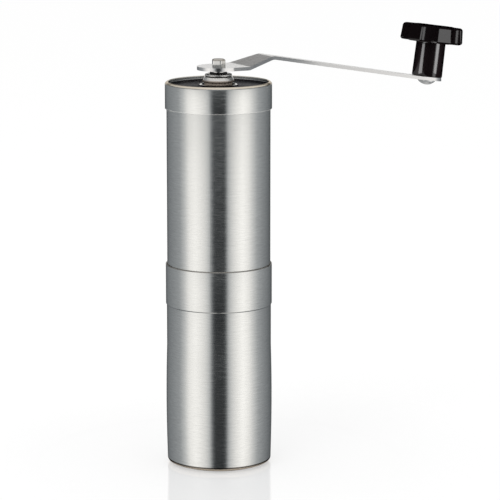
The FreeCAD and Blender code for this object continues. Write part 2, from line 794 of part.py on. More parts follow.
def crank_line(height):
    """List the bends of the crank's centre section at a height above its underside, hub to tip."""
    rise = "tan(crank_rise_angle)"
    fall = "(crank_bend_three - crank_bend_two) * tan(crank_fall_angle)"
    first_cut = "bend_radius * tan(crank_rise_angle / 2)"
    second_cut = "bend_radius * tan((crank_rise_angle + crank_fall_angle) / 2)"
    start = "(crank_low + %s)" % height
    crest = "(%s + (crank_bend_two - crank_bend_one) * %s)" % (start, rise)
    end = "knob_reach + 2 * crank_tip_half"
    return [
        ("-2 * crank_hub_radius", start),
        ("crank_bend_one - " + first_cut, start),
        ("crank_bend_one + %s * cos(crank_rise_angle)" % first_cut,
         "%s + %s * sin(crank_rise_angle)" % (start, first_cut), "bend_radius"),
        ("crank_bend_two - %s * cos(crank_rise_angle)" % second_cut,
         "%s - %s * sin(crank_rise_angle)" % (crest, second_cut)),
        ("crank_bend_two + %s * cos(crank_fall_angle)" % second_cut,
         "%s - %s * sin(crank_fall_angle)" % (crest, second_cut), "-bend_radius"),
        ("crank_bend_three", "%s - %s" % (crest, fall)),
        (end, "%s - %s - (%s - crank_bend_three) * tan(crank_tip_angle)" % (crest, fall, end)),
    ]


def knob_base():
    """Write the point where the knob's axis meets the crank's top face, as (x, z)."""
    rise = "(crank_bend_two - crank_bend_one) * tan(crank_rise_angle)"
    fall = "(crank_bend_three - crank_bend_two) * tan(crank_fall_angle)"
    tip = "(knob_reach - crank_bend_three) * tan(crank_tip_angle)"
    return "knob_reach", "crank_low + crank_sheet + %s - %s - %s" % (rise, fall, tip)


def knob_lean():
    """Lean the knob's axis outwards, square to the crank's tip."""
    turn = FreeCAD.Rotation(FreeCAD.Vector(0, 1, 0), value("crank_tip_angle"))
    return FreeCAD.Placement(FreeCAD.Vector(), turn)


def make_crank():
    """Crank arm: the strip's plan is padded, then cut away above and below its bent section."""
    arm = new_body("crank_arm")
    headroom = "(crank_low + crank_blank_above)"
    depth = "(crank_low - crank_blank_below)"
    sketch = new_sketch(arm, "plan_outline", "XY_Plane", depth)
    outline(sketch, [
        ("0", "-crank_hub_radius", "crank_hub_radius"),
        ("crank_bend_one", "-crank_bend_one_half"),
        ("crank_bend_two", "-crank_bend_two_half"),
        ("knob_reach", "-crank_tip_half"),
        ("knob_reach + crank_tip_half", "0", "crank_tip_half"),
        ("knob_reach", "crank_tip_half", "crank_tip_half"),
        ("crank_bend_two", "crank_bend_two_half"),
        ("crank_bend_one", "crank_bend_one_half"),
        ("0", "crank_hub_radius"),
        ("-crank_hub_radius", "0", "crank_hub_radius"),
    ])
    outline(sketch, polygon("tip_radius + running_gap", PENTAGON_SIDES, "tip_phase"))
    extrude(arm, "plan", sketch, "%s - %s" % (headroom, depth))
    for name, height, limit in (("above", "crank_sheet", headroom), ("below", "0", depth)):
        section = crank_line(height)
        sketch = new_sketch(arm, name + "_outline", "XZ_Plane")
        beyond = "%s %s cutter_overrun" % (limit, "+" if name == "above" else "-")
        outline(sketch, section + [(section[-1][0], beyond), (section[0][0], beyond)])
        extrude(arm, name, sketch, "crank_cut_width", cut=True, both_ways=True)
    hole_x, hole_z = knob_base()
    sketch = new_sketch(arm, "pivot_outline", "XY_Plane")
    sketch.AttachmentOffset = knob_lean()
    sketch.setExpression(".AttachmentOffset.Base.x", bound(hole_x))
    sketch.setExpression(".AttachmentOffset.Base.z", bound(hole_z))
    sketch.setExpression(".AttachmentOffset.Rotation.Angle", bound("crank_tip_angle"))
    circle(sketch, "0", "0", "knob_pivot_hole")
    extrude(arm, "pivot", sketch, "pivot_cut_length", cut=True, both_ways=True)


def seat_on_crank(body):
    """Stand a knob piece on the crank's top face, square to it."""
    x, z = knob_base()
    body.Placement = knob_lean()
    body.setExpression(".Placement.Base.x", bound(x))
    body.setExpression(".Placement.Base.z", bound(z))
    body.setExpression(".Placement.Rotation.Angle", bound("crank_tip_angle"))


def make_knob():
    """Knob: fluted head on a round stem, its brass insert, pivot screw and friction washer."""
    grip = new_body("knob_grip")
    sketch = new_sketch(grip, "head_outline", "XY_Plane", "head_low")
    half_pitch = "%d / head_lobes" % HALF_TURN
    corner = "head_phase + " + half_pitch
    outline(sketch, polygon("head_flat / cos(%s)" % half_pitch, round(value("head_lobes")), corner))
    extrude(grip, "head", sketch, "head_high - head_low")
    sketch = new_sketch(grip, "flute_outline", "XY_Plane", "head_low")
    middle = polar_point("flute_distance", corner)
    circle(sketch, middle[0], middle[1], "flute_radius")
    flute = extrude(grip, "flute", sketch, "head_high - head_low", cut=True, reverse=True)
    flutes = repeat(grip, "flutes", [flute], "head_lobes")
    low = value("head_low")
    high = value("head_high")

    def upright(edge):
        return edge.BoundBox.ZLength > high - low - TOLERANCE and is_straight(edge)

    def level(edge):
        return edge.BoundBox.ZLength < TOLERANCE

    corners = round_edges(grip, "lobe_corners", flutes, "lobe_corner", upright)
    round_edges(grip, "head_edges", corners, "head_edge", level)
    revolve(grip, "stem", [
        ("0", "stem_low"),
        ("stem_low_radius", "stem_low"),
        ("stem_high_radius", "head_low + head_edge"),
        ("0", "head_low + head_edge"),
    ])
    recess = rectangle("0", "washer_seat_radius",
                       "stem_low - cutter_overrun", "pivot_washer_high + running_gap")
    revolve(grip, "washer_seat", recess, cut=True)
    bore = rectangle("0", "insert_radius + running_gap / 2", "pivot_washer_high", "insert_high")
    revolve(grip, "insert_seat", bore, cut=True)
    insert_bore = "knob_screw_radius + running_gap"
    insert = ring("knob_insert", insert_bore, "insert_radius", "insert_low", "insert_high")
    washer = ring("knob_washer", "pivot_washer_bore", "pivot_washer_radius",
                  "pivot_washer_low", "pivot_washer_high")
    screw = new_body("knob_screw")
    seat = "-crank_sheet - screw_head_gap"
    revolve(screw, "screw_turned", [
        ("0", seat + " - screw_head_height"),
        ("screw_head_radius", seat + " - screw_rim_height", "screw_dome_arc"),
        ("screw_head_radius", seat),
        ("knob_screw_radius", seat),
        ("knob_screw_radius", "screw_end"),
        ("0", "screw_end"),
    ])
    for body in (grip, insert, washer, screw):
        seat_on_crank(body)


def is_straight(edge):
    """Tell whether an edge is a straight line."""
    return isinstance(edge.Curve, Part.Line)


def check_and_write():
    """Stop on any failed object or a cut that took nothing, then write each sub-part."""
    doc.recompute()
    for item in doc.Objects:
        if "Invalid" in item.State or "Error" in item.State:
            raise RuntimeError("%s failed: %s" % (item.Name, item.State))
        base = getattr(item, "BaseFeature", None)
        if base is not None and abs(item.Shape.Volume - base.Shape.Volume) < TOLERANCE:
            raise RuntimeError("%s changes nothing" % item.Name)
    os.makedirs("parts", exist_ok=True)
    for body in doc.findObjects("PartDesign::Body"):
        shape = body.Shape
        if shape.isNull() or not shape.isValid() or len(shape.Solids) != 1:
            raise RuntimeError("%s is not one valid solid" % body.Label)
        shape.exportStep("parts/%s.step" % body.Label)
        print("%-16s %9.1f mm3 %4d faces" % (body.Label, shape.Volume, len(shape.Faces)))


make_cup()
make_tube()
make_lid()
make_top_bearing()
make_carrier()
make_burrs()
make_driver()
make_shaft()
make_spring()
make_adjuster()
make_crank()
make_knob()
check_and_write()
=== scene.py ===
"""Looks of a slim hand crank coffee grinder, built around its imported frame.

The file is laid out as an add-on and is run as a script. Lengths are metres. The shaft axis is Z,
the table is z = 0 and the crank points along +X.
"""

import json
import math
from collections import namedtuple

import bmesh
import bpy
from mathutils import Matrix, Vector


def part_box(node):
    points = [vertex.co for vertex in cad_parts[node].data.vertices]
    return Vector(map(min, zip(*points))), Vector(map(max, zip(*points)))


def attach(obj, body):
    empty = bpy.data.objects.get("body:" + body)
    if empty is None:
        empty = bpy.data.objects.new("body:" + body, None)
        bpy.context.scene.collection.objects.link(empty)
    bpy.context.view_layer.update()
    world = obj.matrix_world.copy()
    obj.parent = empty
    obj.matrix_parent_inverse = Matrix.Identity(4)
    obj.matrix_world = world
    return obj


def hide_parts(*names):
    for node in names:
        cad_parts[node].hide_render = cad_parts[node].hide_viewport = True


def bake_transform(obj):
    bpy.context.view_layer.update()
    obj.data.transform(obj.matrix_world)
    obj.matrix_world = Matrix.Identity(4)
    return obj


bl_info = {
    "name": "Hand Crank Coffee Grinder",
    "version": (1, 0, 0),
    "blender": (4, 5, 0),
    "location": "3D View > Sidebar > Grinder",
    "description": "Models and finishes a hand crank coffee grinder around its packed frame",
    "category": "Object",
}

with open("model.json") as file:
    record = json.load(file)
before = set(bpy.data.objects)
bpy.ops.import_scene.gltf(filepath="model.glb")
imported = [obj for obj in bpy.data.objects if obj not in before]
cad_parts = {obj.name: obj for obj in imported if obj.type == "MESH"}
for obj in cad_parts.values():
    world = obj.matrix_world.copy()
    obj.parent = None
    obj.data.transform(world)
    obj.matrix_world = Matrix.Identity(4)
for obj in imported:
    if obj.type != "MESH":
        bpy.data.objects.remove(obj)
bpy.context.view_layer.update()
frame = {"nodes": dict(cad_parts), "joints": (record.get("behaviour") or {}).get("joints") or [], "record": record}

MM = 0.001
FULL_TURN = 2 * math.pi
RIGHT_ANGLE = math.pi / 2

SPIN_SEGMENTS = 192
ARC_STEP = math.radians(12)
MERGE_DISTANCE = 0.002 * MM
SMOOTH_ANGLE = math.radians(32)
WIRE_ANGLE = math.radians(60)
BEVEL_ANGLE = math.radians(40)
WHITE = (1.0, 1.0, 1.0)
NEAR_ZERO = 1e-6

# Sockets of a colour mix: its two colours and its result
MIX_FIRST = 6
MIX_SECOND = 7
MIX_RESULT = 2

BODY_OF = {
    node: body
    for body, nodes in frame["record"]["behaviour"]["bodies"].items()
    for node in nodes
}
KNOB_JOINT = next(joint for joint in frame["joints"] if joint["name"] == "knob_spin")
KNOB_PIVOT = Vector(KNOB_JOINT["pos_m"])
KNOB_AXIS = Vector(KNOB_JOINT["axis"])
KNOB_LEAN = math.atan2(KNOB_AXIS.x, KNOB_AXIS.z)

CUP_LOW, CUP_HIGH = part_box("grounds_cup")
PAN_LOW, PAN_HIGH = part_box("cup_base")
TUBE_LOW, TUBE_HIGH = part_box("hopper_tube")
LID_LOW, LID_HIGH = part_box("hopper_lid")
HOUSING_LOW, HOUSING_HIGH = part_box("bearing_housing")
SLEEVE_LOW, SLEEVE_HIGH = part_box("top_bush")
SHAFT_LOW, SHAFT_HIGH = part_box("drive_shaft")
CLIP_LOW, CLIP_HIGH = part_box("shaft_circlip")
CRANK_LOW, CRANK_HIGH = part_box("crank_arm")

# A tinted stretch of a finish, between two heights and two distances from the shaft axis; most bands are painted
# shade or painted reflection
Band = namedtuple("Band", "low high tint metallic inner outer", defaults=(1.0, 0.0, 2 * CUP_HIGH.x))
# A rounded bend of the crank: where it lies along X, its height, its reach and the slopes beside it
Bend = namedtuple("Bend", "low middle high level reach before after")


def length(name, description, default):
    """A length property in metres."""
    return bpy.props.FloatProperty(
        name=name, description=description, default=default, precision=5, unit="LENGTH"
    )


def turn(name, description, degrees):
    """An angle property, given in degrees."""
    return bpy.props.FloatProperty(
        name=name, description=description, default=math.radians(degrees), subtype="ANGLE"
    )


def share(name, description, default):
    """A property between nothing and one."""
    return bpy.props.FloatProperty(
        name=name, description=description, default=default, min=0.0, max=1.0, subtype="FACTOR"
    )


def power(name, description, default):
    """A lamp's power in watts."""
    return bpy.props.FloatProperty(
        name=name, description=description, default=default, precision=4, unit="POWER"
    )


def spot(name, description, default):
    """A place in the scene."""
    return bpy.props.FloatVectorProperty(
        name=name, description=description, default=default, size=3, subtype="TRANSLATION"
    )


def amount(name, description, default):
    """A whole number of like features."""
    return bpy.props.IntProperty(name=name, description=description, default=default, min=1)


def colour(name, description, default):
    """A colour property, in linear values."""
    return bpy.props.FloatVectorProperty(
        name=name, description=description, default=default, size=3, min=0.0, max=1.0, subtype="COLOR"
    )


class ShellSizes(bpy.types.PropertyGroup):
    """Sizes of the drawn steel cup, its base pan, the bean tube and the lid."""

    wall: length("Wall", "Thickness of the drawn sheet", 0.5 * MM)
    edge: length("Edge", "Rounding of a sheet's cut edge", 0.16 * MM)
    mouth: length("Mouth", "Outside radius of the cup's mouth and the lid", CUP_HIGH.x)
    cup_radius: length("Cup", "Outside radius of the cup below its mouth", 24.1 * MM)
    foot_radius: length("Foot", "Outside radius of the cup at its foot", 24.0 * MM)
    foot_corner: length("Foot corner", "Rounding of the cup's foot", 1.5 * MM)
    opening: length("Opening", "Radius of the hole that the base pan closes", 20.6 * MM)
    swell_arc: length("Swell arc", "Radius of the cup wall's gentle swell", 795 * MM)
    swell_top: length("Swell top", "Height where the swell ends", 56 * MM)
    step_low: length("Step foot", "Height where the swaged mouth begins", 75.2 * MM)
    step_high: length("Step top", "Height where the swaged mouth is at its full size", 75.65 * MM)
    step_round: length("Step rounding", "Rounding of the swaged step", 0.25 * MM)
    pan_sheet: length("Pan sheet", "Thickness of the base pan", 0.6 * MM)
    pan_radius: length("Pan", "Outside radius of the base pan", 20.3 * MM)
    rim_corner: length("Rim corner", "Rounding of the lid's outer corner", 1.2 * MM)
    rim_inner: length("Rim inner", "Rounding of the rim's edge over the dish", 0.3 * MM)
    dish_floor: length("Dish floor", "Height of the lid's dished floor", 176.9 * MM)
    dish_round: length("Dish rounding", "Rounding where the dish's wall meets its floor", 0.4 * MM)
    lid_hole: length("Lid hole", "Radius of the hole for the bearing", 7.7 * MM)
    lip_radius: length("Lip", "Radius where the lid's floor starts to rise to the hole", 9.4 * MM)
    lip_rise: length("Lip rise", "Height of the lip around the hole", 0.6 * MM)
    window_width: length("Window width", "Width of a barb window in the tube", 6 * MM)
    window_low: length("Window foot", "Lower edge of a barb window", 82 * MM)
    window_high: length("Window top", "Upper edge of a barb window", 86 * MM)
    windows: amount("Windows", "Barb windows around the tube", 3)


class BearingSizes(bpy.types.PropertyGroup):
    """Sizes of the turned housing, its sleeve and the drive shaft."""

    edge: length("Edge", "Rounding of a turned edge", 0.12 * MM)
    bore: length("Bore", "Radius of the housing's bore", 3.975 * MM)
    spigot: length("Spigot", "Radius of the spigot staked into the bridge", 5.5 * MM)
    bridge_top: length("Bridge top", "Height of the bridge's upper face", 172 * MM)
    flange_top: length("Flange top", "Height of the housing flange's upper face", 173.2 * MM)
    neck: length("Neck", "Radius of the neck inside the lid's hole", 6.5 * MM)
    neck_top: length("Neck top", "Height where the neck ends under the ridge", 178.2 * MM)
    ridge: length("Ridge", "Largest radius above the lid", 7.3 * MM)
    ridge_height: length("Ridge height", "Height of the ridge", 178.7 * MM)
    cone_top: length("Cone top", "Radius at the upper end of the cone", 6.5 * MM)
    groove: length("Groove", "Radius at the bottom of the groove", 5.6 * MM)
    groove_low: length("Groove foot", "Lower edge of the groove", 180.7 * MM)
    groove_high: length("Groove top", "Upper edge of the groove", 181.15 * MM)
    crown: length("Crown", "Radius of the crown above the groove", 6.22 * MM)
    crown_shoulder: length("Crown shoulder", "Radius where the crown turns in", 6.18 * MM)
    crown_bend: length("Crown bend", "Height where the crown turns in", 181.95 * MM)
    crown_top: length("Crown top", "Radius at the top of the crown", 5.3 * MM)
    sleeve_bore: length("Sleeve bore", "Radius of the sleeve's running bore", 3.5 * MM)
    sleeve_radius: length("Sleeve", "Outside radius of the sleeve", 3.95 * MM)
    sleeve_flange: length("Sleeve flange", "Thickness of the sleeve's flange", 1.0 * MM)
    shaft_radius: length("Shaft", "Radius of the drive shaft", 3.45 * MM)
    shoulder: length("Shoulder", "Height where the shaft turns five-sided", 183.85 * MM)
    tip_radius: length("Tip", "Radius of the five-sided tip at its corners", 3.43 * MM)
    tip_phase: turn("Tip phase", "Angle of the tip's first corner", 48.3)
    tip_sides: amount("Tip sides", "Sides of the tip", 5)
    tip_round: length("Tip rounding", "Rounding of the tip's upright corners", 0.8 * MM)
    crown_reach: length("Tip crown reach", "Radius at the foot of the tip's turned crown", 3.63 * MM)
    crown_flat: length("Tip crown flat", "Radius of the flat on top of the tip", 2.4 * MM)
    crown_drop: length("Tip crown drop", "Height of the tip's turned crown", 0.8 * MM)
    flat_half: length("Flat", "Distance from the axis to a flat", 2.75 * MM)
    flat_low: length("Flats foot", "Lower end of the flats and top of the thread", 72 * MM)
    flat_high: length("Flats top", "Upper end of the flats", 90 * MM)
    clip_groove: length("Clip groove", "Radius at the bottom of the clip's groove", 2.9 * MM)
    thread_radius: length("Thread", "Outside radius of the threaded foot", 3.0 * MM)
    thread_pitch: length("Pitch", "Pitch of the thread", 1.0 * MM)
    thread_depth: length("Thread depth", "Depth of the thread", 0.5 * MM)
    thread_chamfer: length("Thread chamfer", "Chamfer at the shaft's end", 0.6 * MM)


class CrankSizes(bpy.types.PropertyGroup):
    """Sizes of the folded strip crank."""

    sheet: length("Sheet", "Thickness of the strip", 1.6 * MM)
    edge: length("Edge", "Rounding of the strip's edges", 0.22 * MM)
    hub_radius: length("Hub", "Radius of the rounded hub end", -CRANK_LOW.x)
    bend_one: length("First bend", "Distance from the axis to the first bend", 10.8 * MM)
    bend_one_half: length("First half width", "Half the strip's width at the first bend", CRANK_HIGH.y)
    rise: turn("Rise", "Slope between the first and second bends", 15.6)
    bend_two: length("Second bend", "Distance from the axis to the second bend", 24.9 * MM)
    bend_two_half: length("Second half width", "Half the strip's width at the second bend", 7.2 * MM)
    fall: turn("Fall", "Slope from the second bend to the third", 9.9)
    neck_draft: length("Neck draft", "How far the upper edges stand in between the first bends", 0.25 * MM)
    neck_start: length("Neck start", "Distance from the axis to where the draft begins", 2.4 * MM)
    run_draft: length("Run draft", "How far the upper edges stand in along the straight run", 0.1 * MM)
    draft_end: length("Draft end", "Distance from the axis to where the draft has eased", 50 * MM)
    bend_three: length("Third bend", "Distance from the axis to the third bend", 105.2 * MM)
    tip_half: length("Tip half width", "Radius of the rounded tip", CRANK_HIGH.x - KNOB_PIVOT.x)
    bend_radius: length("Bend radius", "Inside radius of the first two bends", 6 * MM)
    hub_low: length("Hub height", "Height of the hub's lower face", 183.9 * MM)
    hole_gap: length("Hole gap", "Play between the five-sided hole and the tip", 0.05 * MM)
    pivot_hole: length("Pivot hole", "Radius of the pivot screw's hole", 2.46 * MM)


class KnobSizes(bpy.types.PropertyGroup):
    """Sizes of the knob, measured along its own axis from the crank's top face."""

    stem_low: length("Stem foot", "Lower end of the stem", 0.12 * MM)
    stem_foot: length("Stem foot radius", "Radius at the stem's foot", 7.2 * MM)
    stem_top: length("Stem top radius", "Radius where the stem meets the head", 7.0 * MM)
    stem_fillet: length("Stem fillet", "Rounding between the stem and the head", 0.5 * MM)
    stem_edge: length("Stem edge", "Rounding of the stem's foot", 0.3 * MM)
    seat: length("Washer seat", "Radius of the washer's seat in the stem's foot", 6.35 * MM)
    seat_top: length("Washer seat top", "Depth of the washer's seat", 0.58 * MM)
    bore: length("Bore", "Radius of the insert's bore", 4.03 * MM)
    bore_top: length("Bore top", "Depth of the insert's bore", 15.5 * MM)
    head_low: length("Head foot", "Lower face of the head", 16.35 * MM)
    head_high: length("Head top", "Upper face of the head", 24.35 * MM)
    head_flat: length("Head", "Distance from the axis to a lobe's flat face", 14.3 * MM)
    head_draft: length("Head draft", "How much wider the head is at its foot than half way up", 0.3 * MM)
    head_edge: length("Head edge", "Rounding of the head's upper and lower edges", 1.3 * MM)
    lobes: amount("Lobes", "Lobes around the head", 6)
    lobe_phase: turn("Lobe phase", "Angle of the first lobe", 22)
    flute_radius: length("Flute", "Radius of a flute between two lobes", 5 * MM)
    flute_distance: length("Flute distance", "Distance from the axis to a flute's centre", 17.2 * MM)
    lobe_round: length("Lobe rounding", "Softness of a lobe's upright corners", 0.9 * MM)
    screw_radius: length("Screw", "Radius of the pivot screw's shank", 2.4 * MM)
    screw_end: length("Screw end", "Upper end of the pivot screw", 14 * MM)
    screw_head: length("Screw head", "Radius of the screw's domed head", 4.1 * MM)
    screw_seat: length("Screw seat", "Depth of the screw head's seat below the crank's top", 1.65 * MM)
    screw_rim: length("Screw rim", "Height of the head's straight rim", 0.5 * MM)
    screw_height: length("Screw height", "Height of the head", 2.3 * MM)
    screw_edge: length("Screw edge", "Rounding of the head's rim", 0.1 * MM)
    screw_tip: length("Screw tip", "Rounding of the screw's upper end", 0.2 * MM)
    recess_reach: length("Recess reach", "Half the width of the screw's cross recess", 1.9 * MM)
    recess_width: length("Recess width", "Width of one slot of the recess", 0.75 * MM)
    recess_depth: length("Recess depth", "Depth of the cross recess", 1.2 * MM)
    recess_taper: share("Recess taper", "Share of its width that the recess keeps at its bottom", 0.6)


class FinishColours(bpy.types.PropertyGroup):
    """Colours of the finishes, and the tints of painted shade and painted reflection on their bands."""

    steel: colour("Steel", "Brushed steel of the cup, tube and lid", (0.78, 0.77, 0.735))
    base: colour("Base steel", "Pressed steel of the base pan", (0.60, 0.555, 0.50))
    strip: colour("Strip steel", "Brushed strip of the crank", (0.75, 0.735, 0.715))
    turned: colour("Turned steel", "Turned housing and shaft", (0.74, 0.725, 0.69))
    fastener: colour("Fastener", "Plated screw, clip and washers", (0.80, 0.80, 0.79))
    spring: colour("Spring", "Drawn spring wire", (0.55, 0.55, 0.55))
    ceramic: colour("Ceramic", "Burrs", (0.83, 0.80, 0.73))
    carrier: colour("Carrier", "Moulded carrier, driver and retainer", (0.022, 0.022, 0.024))
    bush: colour("Bush", "Bearing bushes and friction washer", (0.012, 0.012, 0.013))
    adjuster: colour("Adjuster", "Moulded adjuster wheel", (0.028, 0.028, 0.030))
    knob: colour("Knob", "Polished knob", (0.0045, 0.0030, 0.0034))
    brass: colour("Brass", "Nut and insert", (0.78, 0.57, 0.26))
    # Painted shade: darkens the lid's dished floor
    dish: colour("Dish tint", "Tint of the lid's dished floor", (0.11, 0.11, 0.12))
    # Painted reflection: a warm beige tint on the lid's folded rim
    lid_rim_reflection: colour("Lid rim tint", "Tint of the lid's folded rim", (0.80, 0.74, 0.66))
    # Painted shade: darkens the cup's cut rim
    cup_rim_shade: colour("Cup rim tint", "Tint of the cup's cut rim", (0.42, 0.41, 0.40))
    # Painted reflection: a light-brown band on the cup's rolled foot
    foot: colour("Foot tint", "Tint of the cup's rolled foot", (0.72, 0.62, 0.52))
    # Painted shade: a dark line on the rounding just above the cup's foot
    seam: colour("Seam tint", "Tint of the dark seam above the foot", (0.20, 0.18, 0.165))
    # Painted shade: darkens the housing's groove
    groove: colour("Groove tint", "Tint of the housing's groove", (0.06, 0.06, 0.06))
    # Painted shade: darkens the housing under its ridge
    ridge: colour("Ridge tint", "Tint under the housing's ridge", (0.55, 0.48, 0.43))
    # Painted reflection: a brownish tint on the housing's neck
    neck: colour("Neck tint", "Tint of the housing's neck", (0.52, 0.46, 0.41))
    # Painted shade: dulls the tip's turned crown
    crown: colour("Tip crown tint", "Tint of the tip's turned crown", (0.55, 0.53, 0.51))


class StageSetup(bpy.types.PropertyGroup):
    """Camera, floor and light."""

    distance: length("Camera distance", "Level distance from the shaft axis to the camera", 1.2158)
    height: length("Camera height", "Height of the camera above the table", 0.3257)
    bearing: turn("Camera bearing", "Angle from the crank's broad side to the camera", 27.6)
    aside: turn("Camera aside", "Turn of the camera to the right of the shaft axis", 0.679)
    pitch: turn("Camera pitch", "Tilt of the camera below the horizon", 10.51)
    focal_length: bpy.props.FloatProperty(
        name="Focal length", description="Focal length in millimetres", default=192.8, unit="CAMERA"
    )
    floor_reach: length("Floor reach", "Half the floor's width", 8.0)
    floor_colour: colour("Floor colour", "Pale floor", (0.99, 0.99, 0.99))
    floor_glow: share("Floor glow", "How far the floor shows plain white to the camera", 0.6)
    gloss_reach: length("Gloss reach", "Distance from the axis to where the floor's gloss fades", 0.085)
    gloss_end: length("Gloss end", "Distance from the axis to where the floor's gloss ends", 0.15)
    gloss_index: bpy.props.FloatProperty(
        name="Gloss index", description="Refractive index of the floor's gloss", default=1.36, min=1.0
    )
    fill: share("Fill", "Strength of the even light from all around", 0.98)
    key_place: spot("Key place", "Where the soft key lamp hangs", (-1.1, -0.7, 1.3))
    key_aim: length("Key aim", "Height on the shaft axis that the key lamp faces", 0.09)
    key_size: length("Key size", "Width and height of the key lamp", 0.9)
    key_power: power("Key power", "Power of the soft key lamp", 5.0)
    strip_power: power("Strip power", "Power of the strip lamp beside the knob", 4.2)
    strip_angle: turn("Strip angle", "Angle from the camera to the strip lamp's right", 50)
    strip_distance: length("Strip distance", "Distance from the knob to the strip lamp", 1.0)
    strip_width: length("Strip width", "Width of the strip lamp", 0.45)
    strip_height: length("Strip height", "Height of the strip lamp", 1.2)
    stem_power: power("Stem power", "Power of a small lamp beside the stem", 0.0008)
    left_angle: turn("Left angle", "Angle from the camera to the left stem lamp", -43)
    left_facing: turn("Left facing", "Angle from the camera to where the left stem lamp faces away", -63)
    right_angle: turn("Right angle", "Angle from the camera to the right stem lamp", 37)
    right_facing: turn("Right facing", "Angle from the camera to where the right stem lamp faces away", 55)
    stem_distance: length("Stem distance", "Distance from the knob's axis to a stem lamp", 10.7 * MM)
    stem_width: length("Stem width", "Width of a stem lamp", 3.0 * MM)
    stem_height: length("Stem height", "Height of a stem lamp", 16.0 * MM)
    tent_reach: length("Tent reach", "Radius of the tent that the steel mirrors", 6.0)
    cool: share("Cool", "How much cooler the tent's shaded parts are", 0.095)


def start_clean():
    """Leaves edit mode and clears the selection."""
    if bpy.context.object and bpy.context.object.mode != "OBJECT":
        bpy.ops.object.mode_set(mode="OBJECT")
    bpy.ops.object.select_all(action="DESELECT")


def name_piece(name):
    """Names the active object and its mesh, and puts its place into the mesh."""
    piece = bpy.context.object
    piece.name = name
    piece.data.name = name
    bpy.ops.object.transform_apply(location=True, rotation=True, scale=True)
    return piece


def edit_all():
    """Opens the active mesh with everything selected."""
    bpy.ops.object.mode_set(mode="EDIT")
    bpy.ops.mesh.select_mode(type="VERT")
    bpy.ops.mesh.select_all(action="SELECT")


def close_mesh(angle=SMOOTH_ANGLE):
    """Merges doubles, turns faces outwards and smooths the gentle edges."""
    bpy.ops.mesh.select_all(action="SELECT")
    bpy.ops.mesh.remove_doubles(threshold=MERGE_DISTANCE)
    bpy.ops.mesh.normals_make_consistent(inside=False)
    bpy.ops.object.mode_set(mode="OBJECT")
    bpy.ops.object.shade_smooth_by_angle(angle=angle)


def apply_modifier(piece, kind, **settings):
    """Adds one modifier to the active piece and applies it."""
    modifier = piece.modifiers.new(kind.title(), kind)
    for key, setting in settings.items():
        setattr(modifier, key, setting)
    bpy.ops.object.modifier_apply(modifier=modifier.name)


def make_active(piece):
    """Selects one piece alone."""
    start_clean()
    piece.select_set(True)
    bpy.context.view_layer.objects.active = piece


def cut_away(piece, cutter):
    """Cuts one mesh out of another and removes the cutter."""
    make_active(piece)
    apply_modifier(piece, "BOOLEAN", operation="DIFFERENCE", solver="EXACT", object=cutter)
    bpy.data.objects.remove(cutter)


def settle(piece, node, finish, lower=None):
    """Finishes a piece, hides the frame node that it stands for and lets it ride on the node's body.

    A piece given a lower body rides on no body: its place is put into its mesh.
    """
    piece.data.materials.clear()
    piece.data.materials.append(finish)
    if lower:
        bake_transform(piece)
    else:
        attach(piece, BODY_OF[node])
    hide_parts(node)


def rounded(corners, closed=True):
    """Turns (radius, height, rounding) corners into an outline's points, with arcs at the corners."""
    points = []
    count = len(corners)
    for index, (radius, height, rounding) in enumerate(corners):
        here = Vector((radius, height))
        at_end = not closed and index in (0, count - 1)
        if rounding == 0 or at_end:
            points.append(here)
            continue
        before = (Vector(corners[index - 1][:2]) - here).normalized()
        after = (Vector(corners[(index + 1) % count][:2]) - here).normalized()
        half = before.angle(after) / 2
        middle = here + (before + after).normalized() * (rounding / math.sin(half))
        reach = rounding / math.tan(half)
        first = here + before * reach - middle
        last = here + after * reach - middle
        start = math.atan2(first.y, first.x)
        sweep = math.remainder(math.atan2(last.y, last.x) - start, FULL_TURN)
        steps = max(2, round(abs(sweep) / ARC_STEP))
        for step in range(steps + 1):
            angle = start + sweep * step / steps
            points.append(middle + rounding * Vector((math.cos(angle), math.sin(angle))))
    return points


def bowed(start, end, arc, steps):
    """Lists sharp corners along a shallow arc between two points, bulging away from the axis."""
    first = Vector(start)
    last = Vector(end)
    chord = last - first
    outward = Vector((chord.y, -chord.x)).normalized()
    half = chord.length / 2
    corners = []
    for step in range(1, steps):
        along = (2 * step / steps - 1) * half
        sag = math.sqrt(arc * arc - along * along) - math.sqrt(arc * arc - half * half)
        point = (first + last) / 2 + chord.normalized() * along + outward * sag
        corners.append((point.x, point.y, 0))
    return corners


def turned(name, points, closed=True):
    """Draws an outline by extruding a vertex from point to point, then spins it round the shaft axis."""
    start_clean()
    bpy.ops.mesh.primitive_plane_add(size=MM, location=(points[0].x, 0, points[0].y))
    piece = name_piece(name)
    edit_all()
    bpy.ops.mesh.merge(type="CENTER")
    for here, there in zip(points, points[1:]):
        step = (there.x - here.x, 0, there.y - here.y)
        bpy.ops.mesh.extrude_vertices_move(TRANSFORM_OT_translate={"value": step})
    if closed:
        mesh = bmesh.from_edit_mesh(piece.data)
        mesh.verts.ensure_lookup_table()
        mesh.verts[0].select = True
        bmesh.update_edit_mesh(piece.data)
        bpy.ops.mesh.edge_face_add()
    bpy.ops.mesh.select_all(action="SELECT")
    bpy.ops.mesh.spin(steps=SPIN_SEGMENTS, angle=FULL_TURN, center=(0, 0, 0), axis=(0, 0, 1))
    close_mesh()
    return piece


